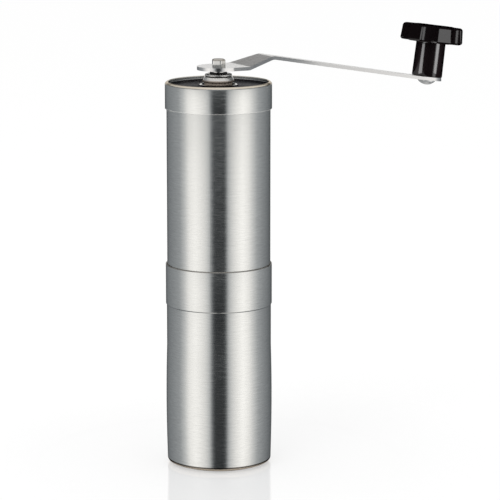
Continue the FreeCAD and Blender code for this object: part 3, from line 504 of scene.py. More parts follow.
def lofted(name, levels, count, phase=0.0):
    """Extrudes a ring through (height, radius) levels and caps both ends; a radius may go by the angle."""
    start_clean()
    bpy.ops.mesh.primitive_circle_add(vertices=count, radius=MM, fill_type="NGON")
    piece = name_piece(name)
    edit_all()
    step = FULL_TURN / count
    for index, (height, radius) in enumerate(levels):
        if index:
            bpy.ops.mesh.extrude_region_move()
        mesh = bmesh.from_edit_mesh(piece.data)
        for vertex in mesh.verts:
            if not vertex.select:
                continue
            place = round((math.atan2(vertex.co.y, vertex.co.x) - phase) / step) if index else vertex.index
            angle = phase + place * step
            reach = radius(angle) if callable(radius) else radius
            vertex.co = (reach * math.cos(angle), reach * math.sin(angle), height)
        bmesh.update_edit_mesh(piece.data)
    close_mesh()
    return piece


def copied(node, name, angle=SMOOTH_ANGLE):
    """Copies a frame node's mesh, joins its loose triangles and smooths its round faces."""
    source = frame["nodes"][node]
    make_active(source)
    bpy.ops.object.duplicate()
    piece = bpy.context.object
    for key in list(piece.keys()):
        del piece[key]
    piece.parent = None
    name_piece(name)
    edit_all()
    bpy.ops.mesh.remove_doubles(threshold=MERGE_DISTANCE)
    bpy.ops.object.mode_set(mode="OBJECT")
    bpy.ops.object.shade_smooth_by_angle(angle=angle)
    return piece


def clamped(value):
    """Holds a value between nothing and one."""
    return max(0.0, min(1.0, value))


def seat_on_crank(piece):
    """Moves a piece that was made round the Z axis onto the knob's leaning axis."""
    make_active(piece)
    piece.matrix_world = Matrix.Translation(KNOB_PIVOT) @ Matrix.Rotation(KNOB_LEAN, 4, "Y")
    bpy.ops.object.transform_apply(location=True, rotation=True, scale=True)


def new_finish(name, base, roughness, metallic=0.0):
    """Starts a finish with one surface shader, and returns it with its node tree and the shader."""
    finish = bpy.data.materials.new(name)
    finish.use_nodes = True
    tree = finish.node_tree
    shader = tree.nodes["Principled BSDF"]
    shader.inputs["Base Color"].default_value = (*base, 1.0)
    shader.inputs["Roughness"].default_value = roughness
    shader.inputs["Metallic"].default_value = metallic
    return finish, tree, shader


def add_node(tree, kind, inputs=None, **settings):
    """Adds one node, sets its options, and sets or links its inputs."""
    node = tree.nodes.new(kind)
    for key, setting in settings.items():
        setattr(node, key, setting)
    for key, given in (inputs or {}).items():
        if isinstance(given, bpy.types.NodeSocket):
            tree.links.new(given, node.inputs[key])
        else:
            node.inputs[key].default_value = given
    return node


def math_node(tree, operation, first, second=0.0):
    """Adds one sum and returns its result."""
    return add_node(tree, "ShaderNodeMath", {0: first, 1: second}, operation=operation).outputs[0]


def object_place(tree):
    """Returns the piece's own coordinates."""
    return add_node(tree, "ShaderNodeTexCoord").outputs["Object"]


def noise(tree, vector, scale=1.0, detail=3.0):
    """Returns a soft random pattern."""
    inputs = {"Vector": vector, "Scale": scale, "Detail": detail}
    return add_node(tree, "ShaderNodeTexNoise", inputs).outputs["Fac"]


def mixed(tree, factor, first, second, way="MIX"):
    """Returns a mix of two colours, each a socket or a plain colour."""
    inputs = {"Factor": factor, MIX_FIRST: first, MIX_SECOND: second}
    node = add_node(tree, "ShaderNodeMix", inputs, data_type="RGBA", blend_type=way)
    return node.outputs[MIX_RESULT]


def feeding(socket):
    """Returns what feeds an input: the output linked to it, or its own value."""
    return socket.links[0].from_socket if socket.is_linked else socket.default_value


def stretched(tree, vector, scale):
    """Returns coordinates scaled unevenly, for streaks."""
    return add_node(tree, "ShaderNodeMapping", {"Vector": vector, "Scale": scale}).outputs["Vector"]


def axis_place(tree):
    """Returns the piece's own coordinates one by one, and the distance from the shaft axis."""
    place = add_node(tree, "ShaderNodeSeparateXYZ", {"Vector": object_place(tree)}).outputs
    level = add_node(tree, "ShaderNodeCombineXYZ", {"X": place["X"], "Y": place["Y"]})
    away = add_node(tree, "ShaderNodeVectorMath", {0: level.outputs["Vector"]}, operation="LENGTH")
    return place, away.outputs["Value"]


def lathe_place(tree, along, across):
    """Returns coordinates whose third value runs across the marks left by turning about the shaft axis."""
    place, away = axis_place(tree)
    run = math_node(tree, "ADD", away, place["Z"])
    joined = add_node(tree, "ShaderNodeCombineXYZ", {"X": place["X"], "Y": place["Y"], "Z": run})
    return stretched(tree, joined.outputs["Vector"], (along, along, across))


def vary_colour(tree, shader, pattern, base, spread):
    """Lets a pattern lighten and darken the colour by a share."""
    darker = [channel * (1 - spread) for channel in base]
    lighter = [min(1.0, channel * (1 + spread)) for channel in base]
    tree.links.new(mixed(tree, pattern, (*darker, 1.0), (*lighter, 1.0)), shader.inputs["Base Color"])


def vary_roughness(tree, shader, pattern, low, high):
    """Lets a pattern move the roughness between two values."""
    spread = add_node(tree, "ShaderNodeMapRange", {"Value": pattern, "To Min": low, "To Max": high})
    tree.links.new(spread.outputs["Result"], shader.inputs["Roughness"])


def emboss(tree, shader, pattern, depth):
    """Lets a pattern raise and lower the surface by a depth."""
    bump = add_node(tree, "ShaderNodeBump", {"Height": pattern, "Distance": depth})
    tree.links.new(bump.outputs["Normal"], shader.inputs["Normal"])


def streaked(tree, fine, broad, share_of_fine):
    """Returns fine marks over broad streaks, whose soft pattern is first spread over the whole range."""
    inputs = {"Value": broad, "From Min": 0.28, "From Max": 0.72}
    streaks = add_node(tree, "ShaderNodeMapRange", inputs).outputs["Result"]
    marks = math_node(tree, "MULTIPLY", fine, share_of_fine)
    return math_node(tree, "ADD", marks, math_node(tree, "MULTIPLY", streaks, 1 - share_of_fine))


def tint_band(tree, shader, band):
    """Tints one band of a finish, also at a grazing view, and lets it be less metallic: this lays on painted shade
    and painted reflection.
    """
    place, away = axis_place(tree)
    mask = math_node(tree, "LESS_THAN", away, band.outer)
    for edge, value, operation in (
        (band.inner, away, "GREATER_THAN"),
        (band.low, place["Z"], "GREATER_THAN"),
        (band.high, place["Z"], "LESS_THAN"),
    ):
        mask = math_node(tree, "MULTIPLY", mask, math_node(tree, operation, value, edge))
    for name in ("Base Color", "Specular Tint"):
        socket = shader.inputs[name]
        tree.links.new(mixed(tree, mask, feeding(socket), (*band.tint, 1.0), "MULTIPLY"), socket)
    metal = shader.inputs["Metallic"]
    kept = math_node(tree, "ADD", math_node(tree, "MULTIPLY", mask, band.metallic - 1.0), 1.0)
    tree.links.new(math_node(tree, "MULTIPLY", kept, feeding(metal)), metal)


def lathed_steel(name, base, low, high, grain=9000.0, smear=0.7, metallic=1.0, spread=0.09, bands=()):
    """Steel brushed or turned round the shaft axis: fine rings that smear its reflections across them."""
    finish, tree, shader = new_finish(name, base, high, metallic)
    shader.inputs["Anisotropic"].default_value = smear
    shader.inputs["Anisotropic Rotation"].default_value = 0.25
    tangent = add_node(tree, "ShaderNodeTangent", direction_type="RADIAL", axis="Z")
    tree.links.new(tangent.outputs["Tangent"], shader.inputs["Tangent"])
    fine = noise(tree, lathe_place(tree, along=120.0, across=grain), detail=4.0)
    broad = noise(tree, lathe_place(tree, along=240.0, across=grain / 3.6), detail=3.0)
    rings = streaked(tree, fine, broad, share_of_fine=0.3)
    smudge = noise(tree, object_place(tree), scale=38.0, detail=2.0)
    vary_colour(tree, shader, rings, base, spread)
    worn = math_node(tree, "MULTIPLY", rings, math_node(tree, "ADD", smudge, 0.5))
    vary_roughness(tree, shader, worn, low, high)
    emboss(tree, shader, rings, depth=0.0025 * MM)
    for band in bands:
        tint_band(tree, shader, band)
    return finish


def strip_steel(name, base, low, high):
    """Steel strip brushed along X, the crank's length."""
    finish, tree, shader = new_finish(name, base, high, metallic=1.0)
    fine = noise(tree, stretched(tree, object_place(tree), (60.0, 7000.0, 300.0)), detail=4.0)
    broad = noise(tree, stretched(tree, object_place(tree), (25.0, 1500.0, 90.0)), detail=2.0)
    lines = streaked(tree, fine, broad, share_of_fine=0.5)
    vary_colour(tree, shader, lines, base, spread=0.04)
    vary_roughness(tree, shader, lines, low, high)
    emboss(tree, shader, lines, depth=0.0006 * MM)
    return finish


def plated(name, base, low, high, metallic=1.0):
    """Bright plated or drawn metal with faint pitting."""
    finish, tree, shader = new_finish(name, base, high, metallic)
    pits = noise(tree, object_place(tree), scale=900.0, detail=4.0)
    haze = noise(tree, object_place(tree), scale=140.0, detail=2.0)
    vary_colour(tree, shader, haze, base, spread=0.06)
    vary_roughness(tree, shader, pits, low, high)
    emboss(tree, shader, pits, depth=0.004 * MM)
    return finish


def moulded(name, base, low, high, grain, depth):
    """Moulded plastic with an eroded grain."""
    finish, tree, shader = new_finish(name, base, high)
    pebbles = noise(tree, object_place(tree), scale=grain, detail=4.0)
    flow = noise(tree, object_place(tree), scale=60.0, detail=2.0)
    vary_colour(tree, shader, flow, base, spread=0.25)
    vary_roughness(tree, shader, pebbles, low, high)
    emboss(tree, shader, pebbles, depth)
    return finish


def polished_black(name, base, low, high):
    """Polished black plastic: faint orange peel and hairline scuffs."""
    finish, tree, shader = new_finish(name, base, high)
    peel = noise(tree, object_place(tree), scale=420.0, detail=2.0)
    scuffs = noise(tree, stretched(tree, object_place(tree), (500.0, 500.0, 4200.0)), detail=5.0)
    cloud = noise(tree, object_place(tree), scale=90.0, detail=2.0)
    vary_colour(tree, shader, cloud, base, spread=0.2)
    vary_roughness(tree, shader, math_node(tree, "MULTIPLY", scuffs, cloud), low, high)
    emboss(tree, shader, peel, depth=0.004 * MM)
    return finish


def fired_ceramic(name, base, low, high):
    """Matt white ceramic with a fine sintered grain and a patchy tone of coffee dust."""
    finish, tree, shader = new_finish(name, base, high)
    grain = noise(tree, object_place(tree), scale=2600.0, detail=5.0)
    dust = noise(tree, object_place(tree), scale=220.0, detail=4.0)
    vary_colour(tree, shader, dust, base, spread=0.10)
    vary_roughness(tree, shader, grain, low, high)
    emboss(tree, shader, grain, depth=0.02 * MM)
    return finish


def lid_bands(shell, colours):
    """Bands of the lid: painted shade on its dish, a painted warm reflection on its folded rim, and its duller cut
    edge.
    """
    half = shell.wall / 2
    inside = shell.mouth - shell.rim_corner
    rim_foot = LID_HIGH.z - 0.7 * shell.rim_corner
    cut_edge = LID_LOW.z + 0.8 * shell.wall
    return (
        # Painted shade over the lid's dished floor
        Band(shell.dish_floor - half, shell.dish_floor + half, colours.dish, outer=inside),
        # Painted warm reflection on the lid's folded rim
        Band(rim_foot, LID_HIGH.z + half, colours.lid_rim_reflection, inner=inside - half),
        Band(LID_LOW.z - half, cut_edge, WHITE, metallic=0.75, inner=inside),
    )


def cup_bands(shell, colours):
    """Bands of the cup: painted shade on its cut rim, a painted warm reflection on its rolled foot, and a painted
    shade line above the foot.
    """
    half = shell.wall / 2
    rim_foot = CUP_HIGH.z - 2 * shell.edge
    seam = CUP_LOW.z + 0.63 * shell.foot_corner
    shade_line_top = seam + 1.5 * shell.wall
    return (
        # Painted shade on the cup's cut rim
        Band(rim_foot, CUP_HIGH.z + half, colours.cup_rim_shade, metallic=0.75),
        # Painted warm reflection on the rolled foot, made less metallic so it takes diffuse light
        Band(CUP_LOW.z - half, seam, colours.foot, metallic=0.4),
        # Painted shade line above the foot
        Band(seam, shade_line_top, colours.seam),
    )


def housing_bands(bearing, colours):
    """Bands of the housing: painted shade in its groove and under its ridge, and a painted brownish reflection on
    its duller neck.
    """
    edge = bearing.edge
    groove_low = bearing.groove_low - edge
    groove_high = bearing.groove_high + edge
    neck_end = bearing.neck_top - edge
    ridge_end = bearing.ridge_height + 5 * edge
    return (
        # Painted shade in the groove
        Band(groove_low, groove_high, colours.groove, outer=bearing.crown - edge),
        # Painted shade under the ridge
        Band(neck_end, ridge_end, colours.ridge),
        # Painted brownish reflection on the neck, made less metallic so it takes diffuse light
        Band(bearing.flange_top, neck_end, colours.neck, metallic=0.3),
    )


def shaft_bands(bearing, colours):
    """The band of the shaft: painted shade on the turned crown of its tip."""
    # Painted shade on the tip's crown
    return (Band(SHAFT_HIGH.z - bearing.crown_drop, SHAFT_HIGH.z + bearing.edge, colours.crown),)


def finish_named(name):
    """Returns one of the grinder's finishes, made the first time it is asked for."""
    found = bpy.data.materials.get(name)
    if found:
        return found
    scene = bpy.context.scene
    shell = scene.grinder_shell
    bearing = scene.grinder_bearing
    colours = scene.grinder_colours
    # The cup's finish carries painted shade on its rim and above its foot, and a painted reflection on its foot
    cup_with_painted_light = {"spread": 0.12, "bands": cup_bands(shell, colours)}
    # The lid's finish carries painted shade on its dish and a painted warm reflection on its rim
    lid_with_painted_light = {"spread": 0.12, "bands": lid_bands(shell, colours)}
    fine_turning = {"grain": 6000.0, "smear": 0.4}
    # The housing's finish carries painted shade in its groove and under its ridge, and a painted reflection on its
    # neck
    housing = {**fine_turning, "metallic": 0.85, "bands": housing_bands(bearing, colours)}
    # The shaft's finish carries painted shade on the crown of its tip
    shaft = {**fine_turning, "bands": shaft_bands(bearing, colours)}
    # Each finish: its maker, its colour, its least and greatest roughness, and what else the maker needs
    maker, base, low, high, more = {
        "brushed_tube_steel": (lathed_steel, colours.steel, 0.14, 0.27, {"spread": 0.12}),
        "brushed_cup_steel": (lathed_steel, colours.steel, 0.14, 0.27, cup_with_painted_light),
        "brushed_lid_steel": (lathed_steel, colours.steel, 0.12, 0.26, lid_with_painted_light),
        "pressed_base_steel": (lathed_steel, colours.base, 0.26, 0.42, {}),
        "turned_housing_steel": (lathed_steel, colours.turned, 0.20, 0.32, housing),
        "turned_shaft_steel": (lathed_steel, colours.turned, 0.07, 0.18, shaft),
        "brushed_strip_steel": (strip_steel, colours.strip, 0.14, 0.26, {}),
        "plated_fastener": (plated, colours.fastener, 0.12, 0.24, {"metallic": 0.7}),
        "drawn_spring_wire": (plated, colours.spring, 0.24, 0.36, {}),
        "turned_brass": (plated, colours.brass, 0.18, 0.30, {}),
        "burr_ceramic": (fired_ceramic, colours.ceramic, 0.38, 0.62, {}),
        "carrier_moulding": (moulded, colours.carrier, 0.42, 0.60, {"grain": 1900.0, "depth": 0.02 * MM}),
        "bush_acetal": (moulded, colours.bush, 0.36, 0.50, {"grain": 1200.0, "depth": 0.008 * MM}),
        "adjuster_moulding": (moulded, colours.adjuster, 0.34, 0.50, {"grain": 1500.0, "depth": 0.015 * MM}),
        "polished_knob_plastic": (polished_black, colours.knob, 0.10, 0.30, {}),
    }[name]
    return maker(name, base, low, high, **more)


class GRINDER_OT_cup(bpy.types.Operator):
    """Model the grounds cup and the pressed pan that closes it"""

    bl_idname = "grinder.cup"
    bl_label = "Grounds Cup"

    SWELL_STEPS = 10

    def execute(self, context):
        size = context.scene.grinder_shell
        wall = size.wall
        shelf = CUP_LOW.z + wall
        corner = CUP_LOW.z + size.foot_corner
        inner_corner = size.foot_corner - wall
        foot = (size.foot_radius, corner)
        swell_end = (size.cup_radius, size.swell_top)
        outer_swell = bowed(foot, swell_end, size.swell_arc, self.SWELL_STEPS)
        inner_swell = [(radius - wall, height, 0) for radius, height, _ in reversed(outer_swell)]
        outline = [
            (size.opening, CUP_LOW.z, size.edge),
            (size.foot_radius, CUP_LOW.z, size.foot_corner),
            *outer_swell,
            (size.cup_radius, size.swell_top, 0),
            (size.cup_radius, size.step_low, size.step_round),
            (size.mouth, size.step_high, size.step_round),
            (size.mouth, CUP_HIGH.z, size.edge),
            (size.mouth - wall, CUP_HIGH.z, size.edge),
            (size.mouth - wall, size.step_high, size.step_round),
            (size.cup_radius - wall, size.step_low, size.step_round),
            (size.cup_radius - wall, size.swell_top, 0),
            *inner_swell,
            (size.foot_radius - wall, shelf, inner_corner),
            (size.opening, shelf, size.edge),
        ]
        settle(turned("cup_shell", rounded(outline)), "grounds_cup", finish_named("brushed_cup_steel"))

        sheet = size.pan_sheet
        floor = PAN_LOW.z
        pan = [
            (0, floor, 0),
            (size.pan_radius, floor, sheet),
            (size.pan_radius, PAN_HIGH.z - sheet, 0),
            (PAN_HIGH.x, PAN_HIGH.z - sheet, size.edge),
            (PAN_HIGH.x, PAN_HIGH.z, size.edge),
            (size.pan_radius - sheet, PAN_HIGH.z, sheet / 2),
            (size.pan_radius - sheet, floor + sheet, sheet / 2),
            (0, floor + sheet, 0),
        ]
        base = turned("base_pan", rounded(pan, closed=False), closed=False)
        settle(base, "cup_base", finish_named("pressed_base_steel"))
        return {"FINISHED"}


class GRINDER_OT_tube(bpy.types.Operator):
    """Model the bean tube with its barb windows"""

    bl_idname = "grinder.tube"
    bl_label = "Bean Tube"

    def execute(self, context):
        size = context.scene.grinder_shell
        inside = TUBE_HIGH.x - size.wall
        outline = [
            (inside, TUBE_LOW.z, size.edge),
            (TUBE_HIGH.x, TUBE_LOW.z, size.edge),
            (TUBE_HIGH.x, TUBE_HIGH.z, size.edge),
            (inside, TUBE_HIGH.z, size.edge),
        ]
        tube = turned("bean_tube", rounded(outline))
        middle = (size.window_low + size.window_high) / 2
        for index in range(size.windows):
            angle = FULL_TURN * index / size.windows
            start_clean()
            bpy.ops.mesh.primitive_cube_add(
                size=1.0,
                location=(inside * math.cos(angle), inside * math.sin(angle), middle),
                rotation=(0, 0, angle),
                scale=(size.mouth / 2, size.window_width, size.window_high - size.window_low),
            )
            cut_away(tube, name_piece("window_cutter"))
        bpy.ops.object.shade_smooth_by_angle(angle=SMOOTH_ANGLE)
        settle(tube, "hopper_tube", finish_named("brushed_tube_steel"))
        return {"FINISHED"}


class GRINDER_OT_lid(bpy.types.Operator):
    """Model the drawn cap with its folded rim and dished floor"""

    bl_idname = "grinder.lid"
    bl_label = "Lid"

    def execute(self, context):
        size = context.scene.grinder_shell
        wall = size.wall
        dish = size.mouth - size.rim_corner - size.rim_inner
        floor = size.dish_floor
        channel = floor + size.dish_round
        lip = floor + size.lip_rise
        outline = [
            (size.mouth, LID_LOW.z, size.edge),
            (size.mouth, LID_HIGH.z, size.rim_corner),
            (dish, LID_HIGH.z, size.rim_inner),
            (dish, floor, size.dish_round),
            (size.lip_radius, floor, size.dish_round),
            (size.lid_hole, lip, size.edge),
            (size.lid_hole, lip - wall, size.edge),
            (size.lip_radius, floor - wall, size.dish_round),
            (dish + wall, floor - wall, size.dish_round + wall),
            (dish + wall, channel, 0),
            (size.mouth - wall, channel, size.edge),
            (size.mouth - wall, LID_LOW.z, size.edge),
        ]
        settle(turned("lid_cap", rounded(outline)), "hopper_lid", finish_named("brushed_lid_steel"))
        return {"FINISHED"}


class GRINDER_OT_bearing(bpy.types.Operator):
    """Model the turned housing, its black sleeve and the bridge that carries them"""

    bl_idname = "grinder.bearing"
    bl_label = "Top Bearing"

    def execute(self, context):
        size = context.scene.grinder_bearing
        edge = size.edge
        housing = [
            (size.bore, HOUSING_LOW.z, edge),
            (size.spigot, HOUSING_LOW.z, edge),
            (size.spigot, size.bridge_top, 0),
            (HOUSING_HIGH.x, size.bridge_top, edge),
            (HOUSING_HIGH.x, size.flange_top, edge),
            (size.neck, size.flange_top, edge),
            (size.neck, size.neck_top, edge),
            (size.ridge, size.ridge_height, 2 * edge),
            (size.cone_top, size.groove_low, edge),
            (size.groove, size.groove_low, edge),
            (size.groove, size.groove_high, edge),
            (size.crown, size.groove_high, edge),
            (size.crown_shoulder, size.crown_bend, edge),
            (size.crown_top, HOUSING_HIGH.z, edge),
            (size.bore, HOUSING_HIGH.z, edge),
        ]
        piece = turned("top_housing", rounded(housing))
        settle(piece, "bearing_housing", finish_named("turned_housing_steel"))

        flange_top = SLEEVE_LOW.z + size.sleeve_flange
        sleeve = [
            (size.sleeve_bore, SLEEVE_LOW.z, edge),
            (SLEEVE_HIGH.x, SLEEVE_LOW.z, edge),
            (SLEEVE_HIGH.x, flange_top, edge),
            (size.sleeve_radius, flange_top, 0),
            (size.sleeve_radius, SLEEVE_HIGH.z, edge),
            (size.sleeve_bore, SLEEVE_HIGH.z, edge),
        ]
        settle(turned("shaft_sleeve", rounded(sleeve)), "top_bush", finish_named("bush_acetal"))
        bridge = copied("bearing_bridge", "bridge_strip")
        settle(bridge, "bearing_bridge", finish_named("brushed_strip_steel"))
        return {"FINISHED"}


class GRINDER_OT_shaft(bpy.types.Operator):
    """Model the drive shaft with its five-sided tip, flats and thread, and the rings on it"""

    bl_idname = "grinder.shaft"
    bl_label = "Drive Shaft"

    RING_POINTS = 120
    THREAD_LEVELS = 12
    CROWN_LEVELS = 8

    def execute(self, context):
        size = context.scene.grinder_bearing
        levels = self.threaded_foot(size) + self.round_rod(size) + self.five_sided_tip(size)
        rod = lofted("shaft_rod", levels, self.RING_POINTS, size.tip_phase)
        settle(rod, "drive_shaft", finish_named("turned_shaft_steel"))
        for node, name in (
            ("shaft_circlip", "retaining_clip"),
            ("thrust_washer", "clip_washer"),
            ("spring_washer", "spring_seat_washer"),
        ):
            settle(copied(node, name), node, finish_named("plated_fastener"))
        spring = copied("burr_spring", "coil_spring", WIRE_ANGLE)
        settle(spring, "burr_spring", finish_named("drawn_spring_wire"), BODY_OF["burr_driver"])
        return {"FINISHED"}

    def threaded_foot(self, size):
        """Rings of the threaded foot: the crest climbs by one pitch in a turn."""
        end = SHAFT_LOW.z
        crest = size.thread_radius
        levels = [(end, crest - size.thread_chamfer)]
        step = size.thread_pitch / self.THREAD_LEVELS
        count = int((size.flat_low - end - size.thread_pitch) / step)
        for index in range(1, count):
            height = end + index * step

            def radius(angle, height=height):
                climb = (height / size.thread_pitch - angle / FULL_TURN) % 1.0
                depth = size.thread_depth * abs(2 * climb - 1)
                chamfered = crest - size.thread_chamfer + (height - end)
                return min(crest - depth, chamfered)

            levels.append((height, radius))
        root = crest - size.thread_depth
        levels.append((size.flat_low - size.thread_pitch, root))
        levels.append((size.flat_low, root))
        return levels

    @staticmethod
    def round_rod(size):
        """Rings of the rod: two flats for the burr driver, then the clip's groove."""
        radius = size.shaft_radius
        edge = size.edge

        def flatted(angle):
            slope = max(abs(math.sin(angle)), NEAR_ZERO)
            return min(radius, size.flat_half / slope)

        return [
            (size.flat_low, lambda angle: flatted(angle) - edge),
            (size.flat_low + edge, flatted),
            (size.flat_high, flatted),
            (size.flat_high, radius),
            (CLIP_LOW.z, radius),
            (CLIP_LOW.z, size.clip_groove),
            (CLIP_HIGH.z, size.clip_groove),
            (CLIP_HIGH.z, radius),
            (size.shoulder - edge, radius),
            (size.shoulder, radius - edge),
        ]

    def five_sided_tip(self, size):
        """Rings of the tip: a prism whose top is turned to a blunt cone."""
        side = FULL_TURN / size.tip_sides
        inner = size.tip_radius * math.cos(side / 2)
        round_reach = (inner - size.tip_round) / math.cos(side / 2)
        straight = (inner - size.tip_round) * math.tan(side / 2)

        def prism(angle):
            aside = abs((angle - size.tip_phase) % side - side / 2)
            if inner * math.tan(aside) <= straight:
                return inner / math.cos(aside)
            from_corner = side / 2 - aside
            across = round_reach * math.sin(from_corner)
            return round_reach * math.cos(from_corner) + math.sqrt(size.tip_round ** 2 - across * across)

        levels = [(size.shoulder, prism)]
        foot = SHAFT_HIGH.z - size.crown_drop
        for index in range(self.CROWN_LEVELS + 1):
            part = index / self.CROWN_LEVELS
            cone = size.crown_reach + (size.crown_flat - size.crown_reach) * part
            levels.append((foot + size.crown_drop * part, lambda angle, cone=cone: min(prism(angle), cone)))
        return levels


class GRINDER_OT_mill(bpy.types.Operator):
    """Finish the burrs and the mouldings that carry and turn them"""

    bl_idname = "grinder.mill"
    bl_label = "Burr Mill"

    PIECES = (
        ("outer_burr", "ring_burr", "burr_ceramic"),
        ("inner_burr", "cone_burr", "burr_ceramic"),
        ("burr_carrier", "carrier_spider", "carrier_moulding"),
        ("burr_retainer", "retainer_ring", "carrier_moulding"),
        ("burr_driver", "driver_hub", "carrier_moulding"),
        ("lower_bush", "hub_bush", "bush_acetal"),
    )

    def execute(self, context):
        for node, name, finish in self.PIECES:
            settle(copied(node, name), node, finish_named(finish))
        return {"FINISHED"}


class GRINDER_OT_adjuster(bpy.types.Operator):
    """Finish the scalloped adjuster wheel and its brass nut"""

    bl_idname = "grinder.adjuster"
    bl_label = "Adjuster"

    def execute(self, context):
        settle(copied("adjuster_wheel", "thumb_wheel"), "adjuster_wheel", finish_named("adjuster_moulding"))
        settle(copied("adjuster_nut", "brass_nut"), "adjuster_nut", finish_named("turned_brass"))
        return {"FINISHED"}


class GRINDER_OT_crank(bpy.types.Operator):
    """Fold the strip crank from a flat blank and punch its holes"""

    bl_idname = "grinder.crank"
    bl_label = "Crank"

    ROWS = 8
    END_COLUMNS = 14
    BEND_COLUMNS = 6
    RUN_COLUMNS = 8
    HOLE_POINTS = 64
    BEVEL_SEGMENTS = 3

    def execute(self, context):
        size = context.scene.grinder_crank
        stations = self.stations(size)
        start_clean()
        columns = len(stations) - 1
        bpy.ops.mesh.primitive_grid_add(x_subdivisions=columns, y_subdivisions=self.ROWS, size=1.0)
        strip = name_piece("crank_strip")
        edit_all()
        mesh = bmesh.from_edit_mesh(strip.data)
        for vertex in mesh.verts:
            x = stations[round((vertex.co.x + 0.5) * columns)]
            y = 2 * vertex.co.y * self.half_width(size, x)
            vertex.co = (x, y, self.height(size, x))
        bmesh.update_edit_mesh(strip.data)
        bpy.ops.mesh.extrude_region_move(TRANSFORM_OT_translate={"value": (0, 0, size.sheet)})
        mesh = bmesh.from_edit_mesh(strip.data)
        for vertex in mesh.verts:
            x = vertex.co.x
            if vertex.select and size.neck_start < x < KNOB_PIVOT.x:
                vertex.co.y *= 1 - self.neck_inset(size, x) / self.half_width(size, x)
        bmesh.update_edit_mesh(strip.data)
        close_mesh()
        self.punch(size, strip, context.scene.grinder_bearing)
        make_active(strip)
        apply_modifier(strip, "BEVEL", width=size.edge, segments=self.BEVEL_SEGMENTS,
                       limit_method="ANGLE", angle_limit=BEVEL_ANGLE)
        bpy.ops.object.shade_smooth_by_angle(angle=SMOOTH_ANGLE)
        settle(strip, "crank_arm", finish_named("brushed_strip_steel"))
        return {"FINISHED"}

    @staticmethod
    def bends(size):
        """Lists the first two bends, which are rounded."""
        crest = size.hub_low + (size.bend_two - size.bend_one) * math.tan(size.rise)
        found = []
        for middle, level, before, after in (
            (size.bend_one, size.hub_low, 0.0, size.rise),
            (size.bend_two, crest, size.rise, -size.fall),
        ):
            reach = size.bend_radius * math.tan(abs(after - before) / 2)
            low = middle - reach * math.cos(before)
            high = middle + reach * math.cos(after)
            found.append(Bend(low, middle, high, level, reach, before, after))
        return found

    def stations(self, size):
        """Distances along X where the blank has a row of points: its round ends, its bends and its draft."""
        ends = [math.cos(RIGHT_ANGLE * index / self.END_COLUMNS) for index in range(self.END_COLUMNS + 1)]
        hub = [-size.hub_radius * part for part in ends]
        tip = [KNOB_PIVOT.x + size.tip_half * part for part in reversed(ends)]
        folds = [size.bend_three]
        for bend in self.bends(size):
            step = (bend.high - bend.low) / self.BEND_COLUMNS
            folds += [bend.low + step * index for index in range(self.BEND_COLUMNS + 1)]
            folds.append(bend.middle)
        neck = [size.neck_start, size.neck_start + self.bends(size)[0].reach]
        step = (size.draft_end - size.bend_two) / self.RUN_COLUMNS
        run = [size.draft_end - step * index for index in range(self.RUN_COLUMNS - 1)]
        return sorted(set(hub + neck + folds + run + tip))

    @staticmethod
    def half_width(size, x):
        """Half the strip's width at a distance along X."""
        if x < 0:
            return math.sqrt(max(0.0, size.hub_radius ** 2 - x * x))
        if x > KNOB_PIVOT.x:
            return math.sqrt(max(0.0, size.tip_half ** 2 - (x - KNOB_PIVOT.x) ** 2))
        corners = (
            (0.0, size.hub_radius),
            (size.bend_one, size.bend_one_half),
            (size.bend_two, size.bend_two_half),
            (KNOB_PIVOT.x, size.tip_half),
        )
        for (start, first), (end, last) in zip(corners, corners[1:]):
            if x <= end:
                return first + (last - first) * (x - start) / (end - start)
        return size.tip_half

    def neck_inset(self, size, x):
        """How far the strip's upper edge stands in from its lower one: most beside the first two bends."""
        into = clamped((x - size.neck_start) / self.bends(size)[0].reach)
        out = clamped((x - size.bend_two) / (size.draft_end - size.bend_two))
        return into * (size.neck_draft + (size.run_draft - size.neck_draft) * out)

    def height(self, size, x):
        """Height of the strip's lower face at a distance along X, with its bends rounded."""
        bends = self.bends(size)
        for bend in bends:
            if bend.low < x < bend.high:
                way = math.copysign(size.bend_radius, bend.after - bend.before)
                centre_x = bend.low - way * math.sin(bend.before)
                foot = bend.level - bend.reach * math.sin(bend.before)
                drop = math.sqrt(size.bend_radius ** 2 - (x - centre_x) ** 2)
                return foot + way * math.cos(bend.before) - math.copysign(drop, way)
        if x <= size.bend_one:
            return size.hub_low
        if x <= size.bend_two:
            return size.hub_low + (x - size.bend_one) * math.tan(size.rise)
        crest = bends[-1].level
        if x <= size.bend_three:
            return crest - (x - size.bend_two) * math.tan(size.fall)
        trough = crest - (size.bend_three - size.bend_two) * math.tan(size.fall)
        return trough - (x - size.bend_three) * math.tan(KNOB_LEAN)

    def punch(self, size, strip, bearing):
        """Punches the five-sided hole and the pivot hole."""
        depth = 4 * size.sheet
        start_clean()
        bpy.ops.mesh.primitive_cylinder_add(
            vertices=bearing.tip_sides, radius=bearing.tip_radius + size.hole_gap, depth=depth,
            location=(0, 0, size.hub_low), rotation=(0, 0, bearing.tip_phase - RIGHT_ANGLE),
        )
        cut_away(strip, name_piece("tip_hole_cutter"))
        start_clean()
        bpy.ops.mesh.primitive_cylinder_add(vertices=self.HOLE_POINTS, radius=size.pivot_hole, depth=depth)
        cutter = name_piece("pivot_hole_cutter")
        seat_on_crank(cutter)
        cut_away(strip, cutter)


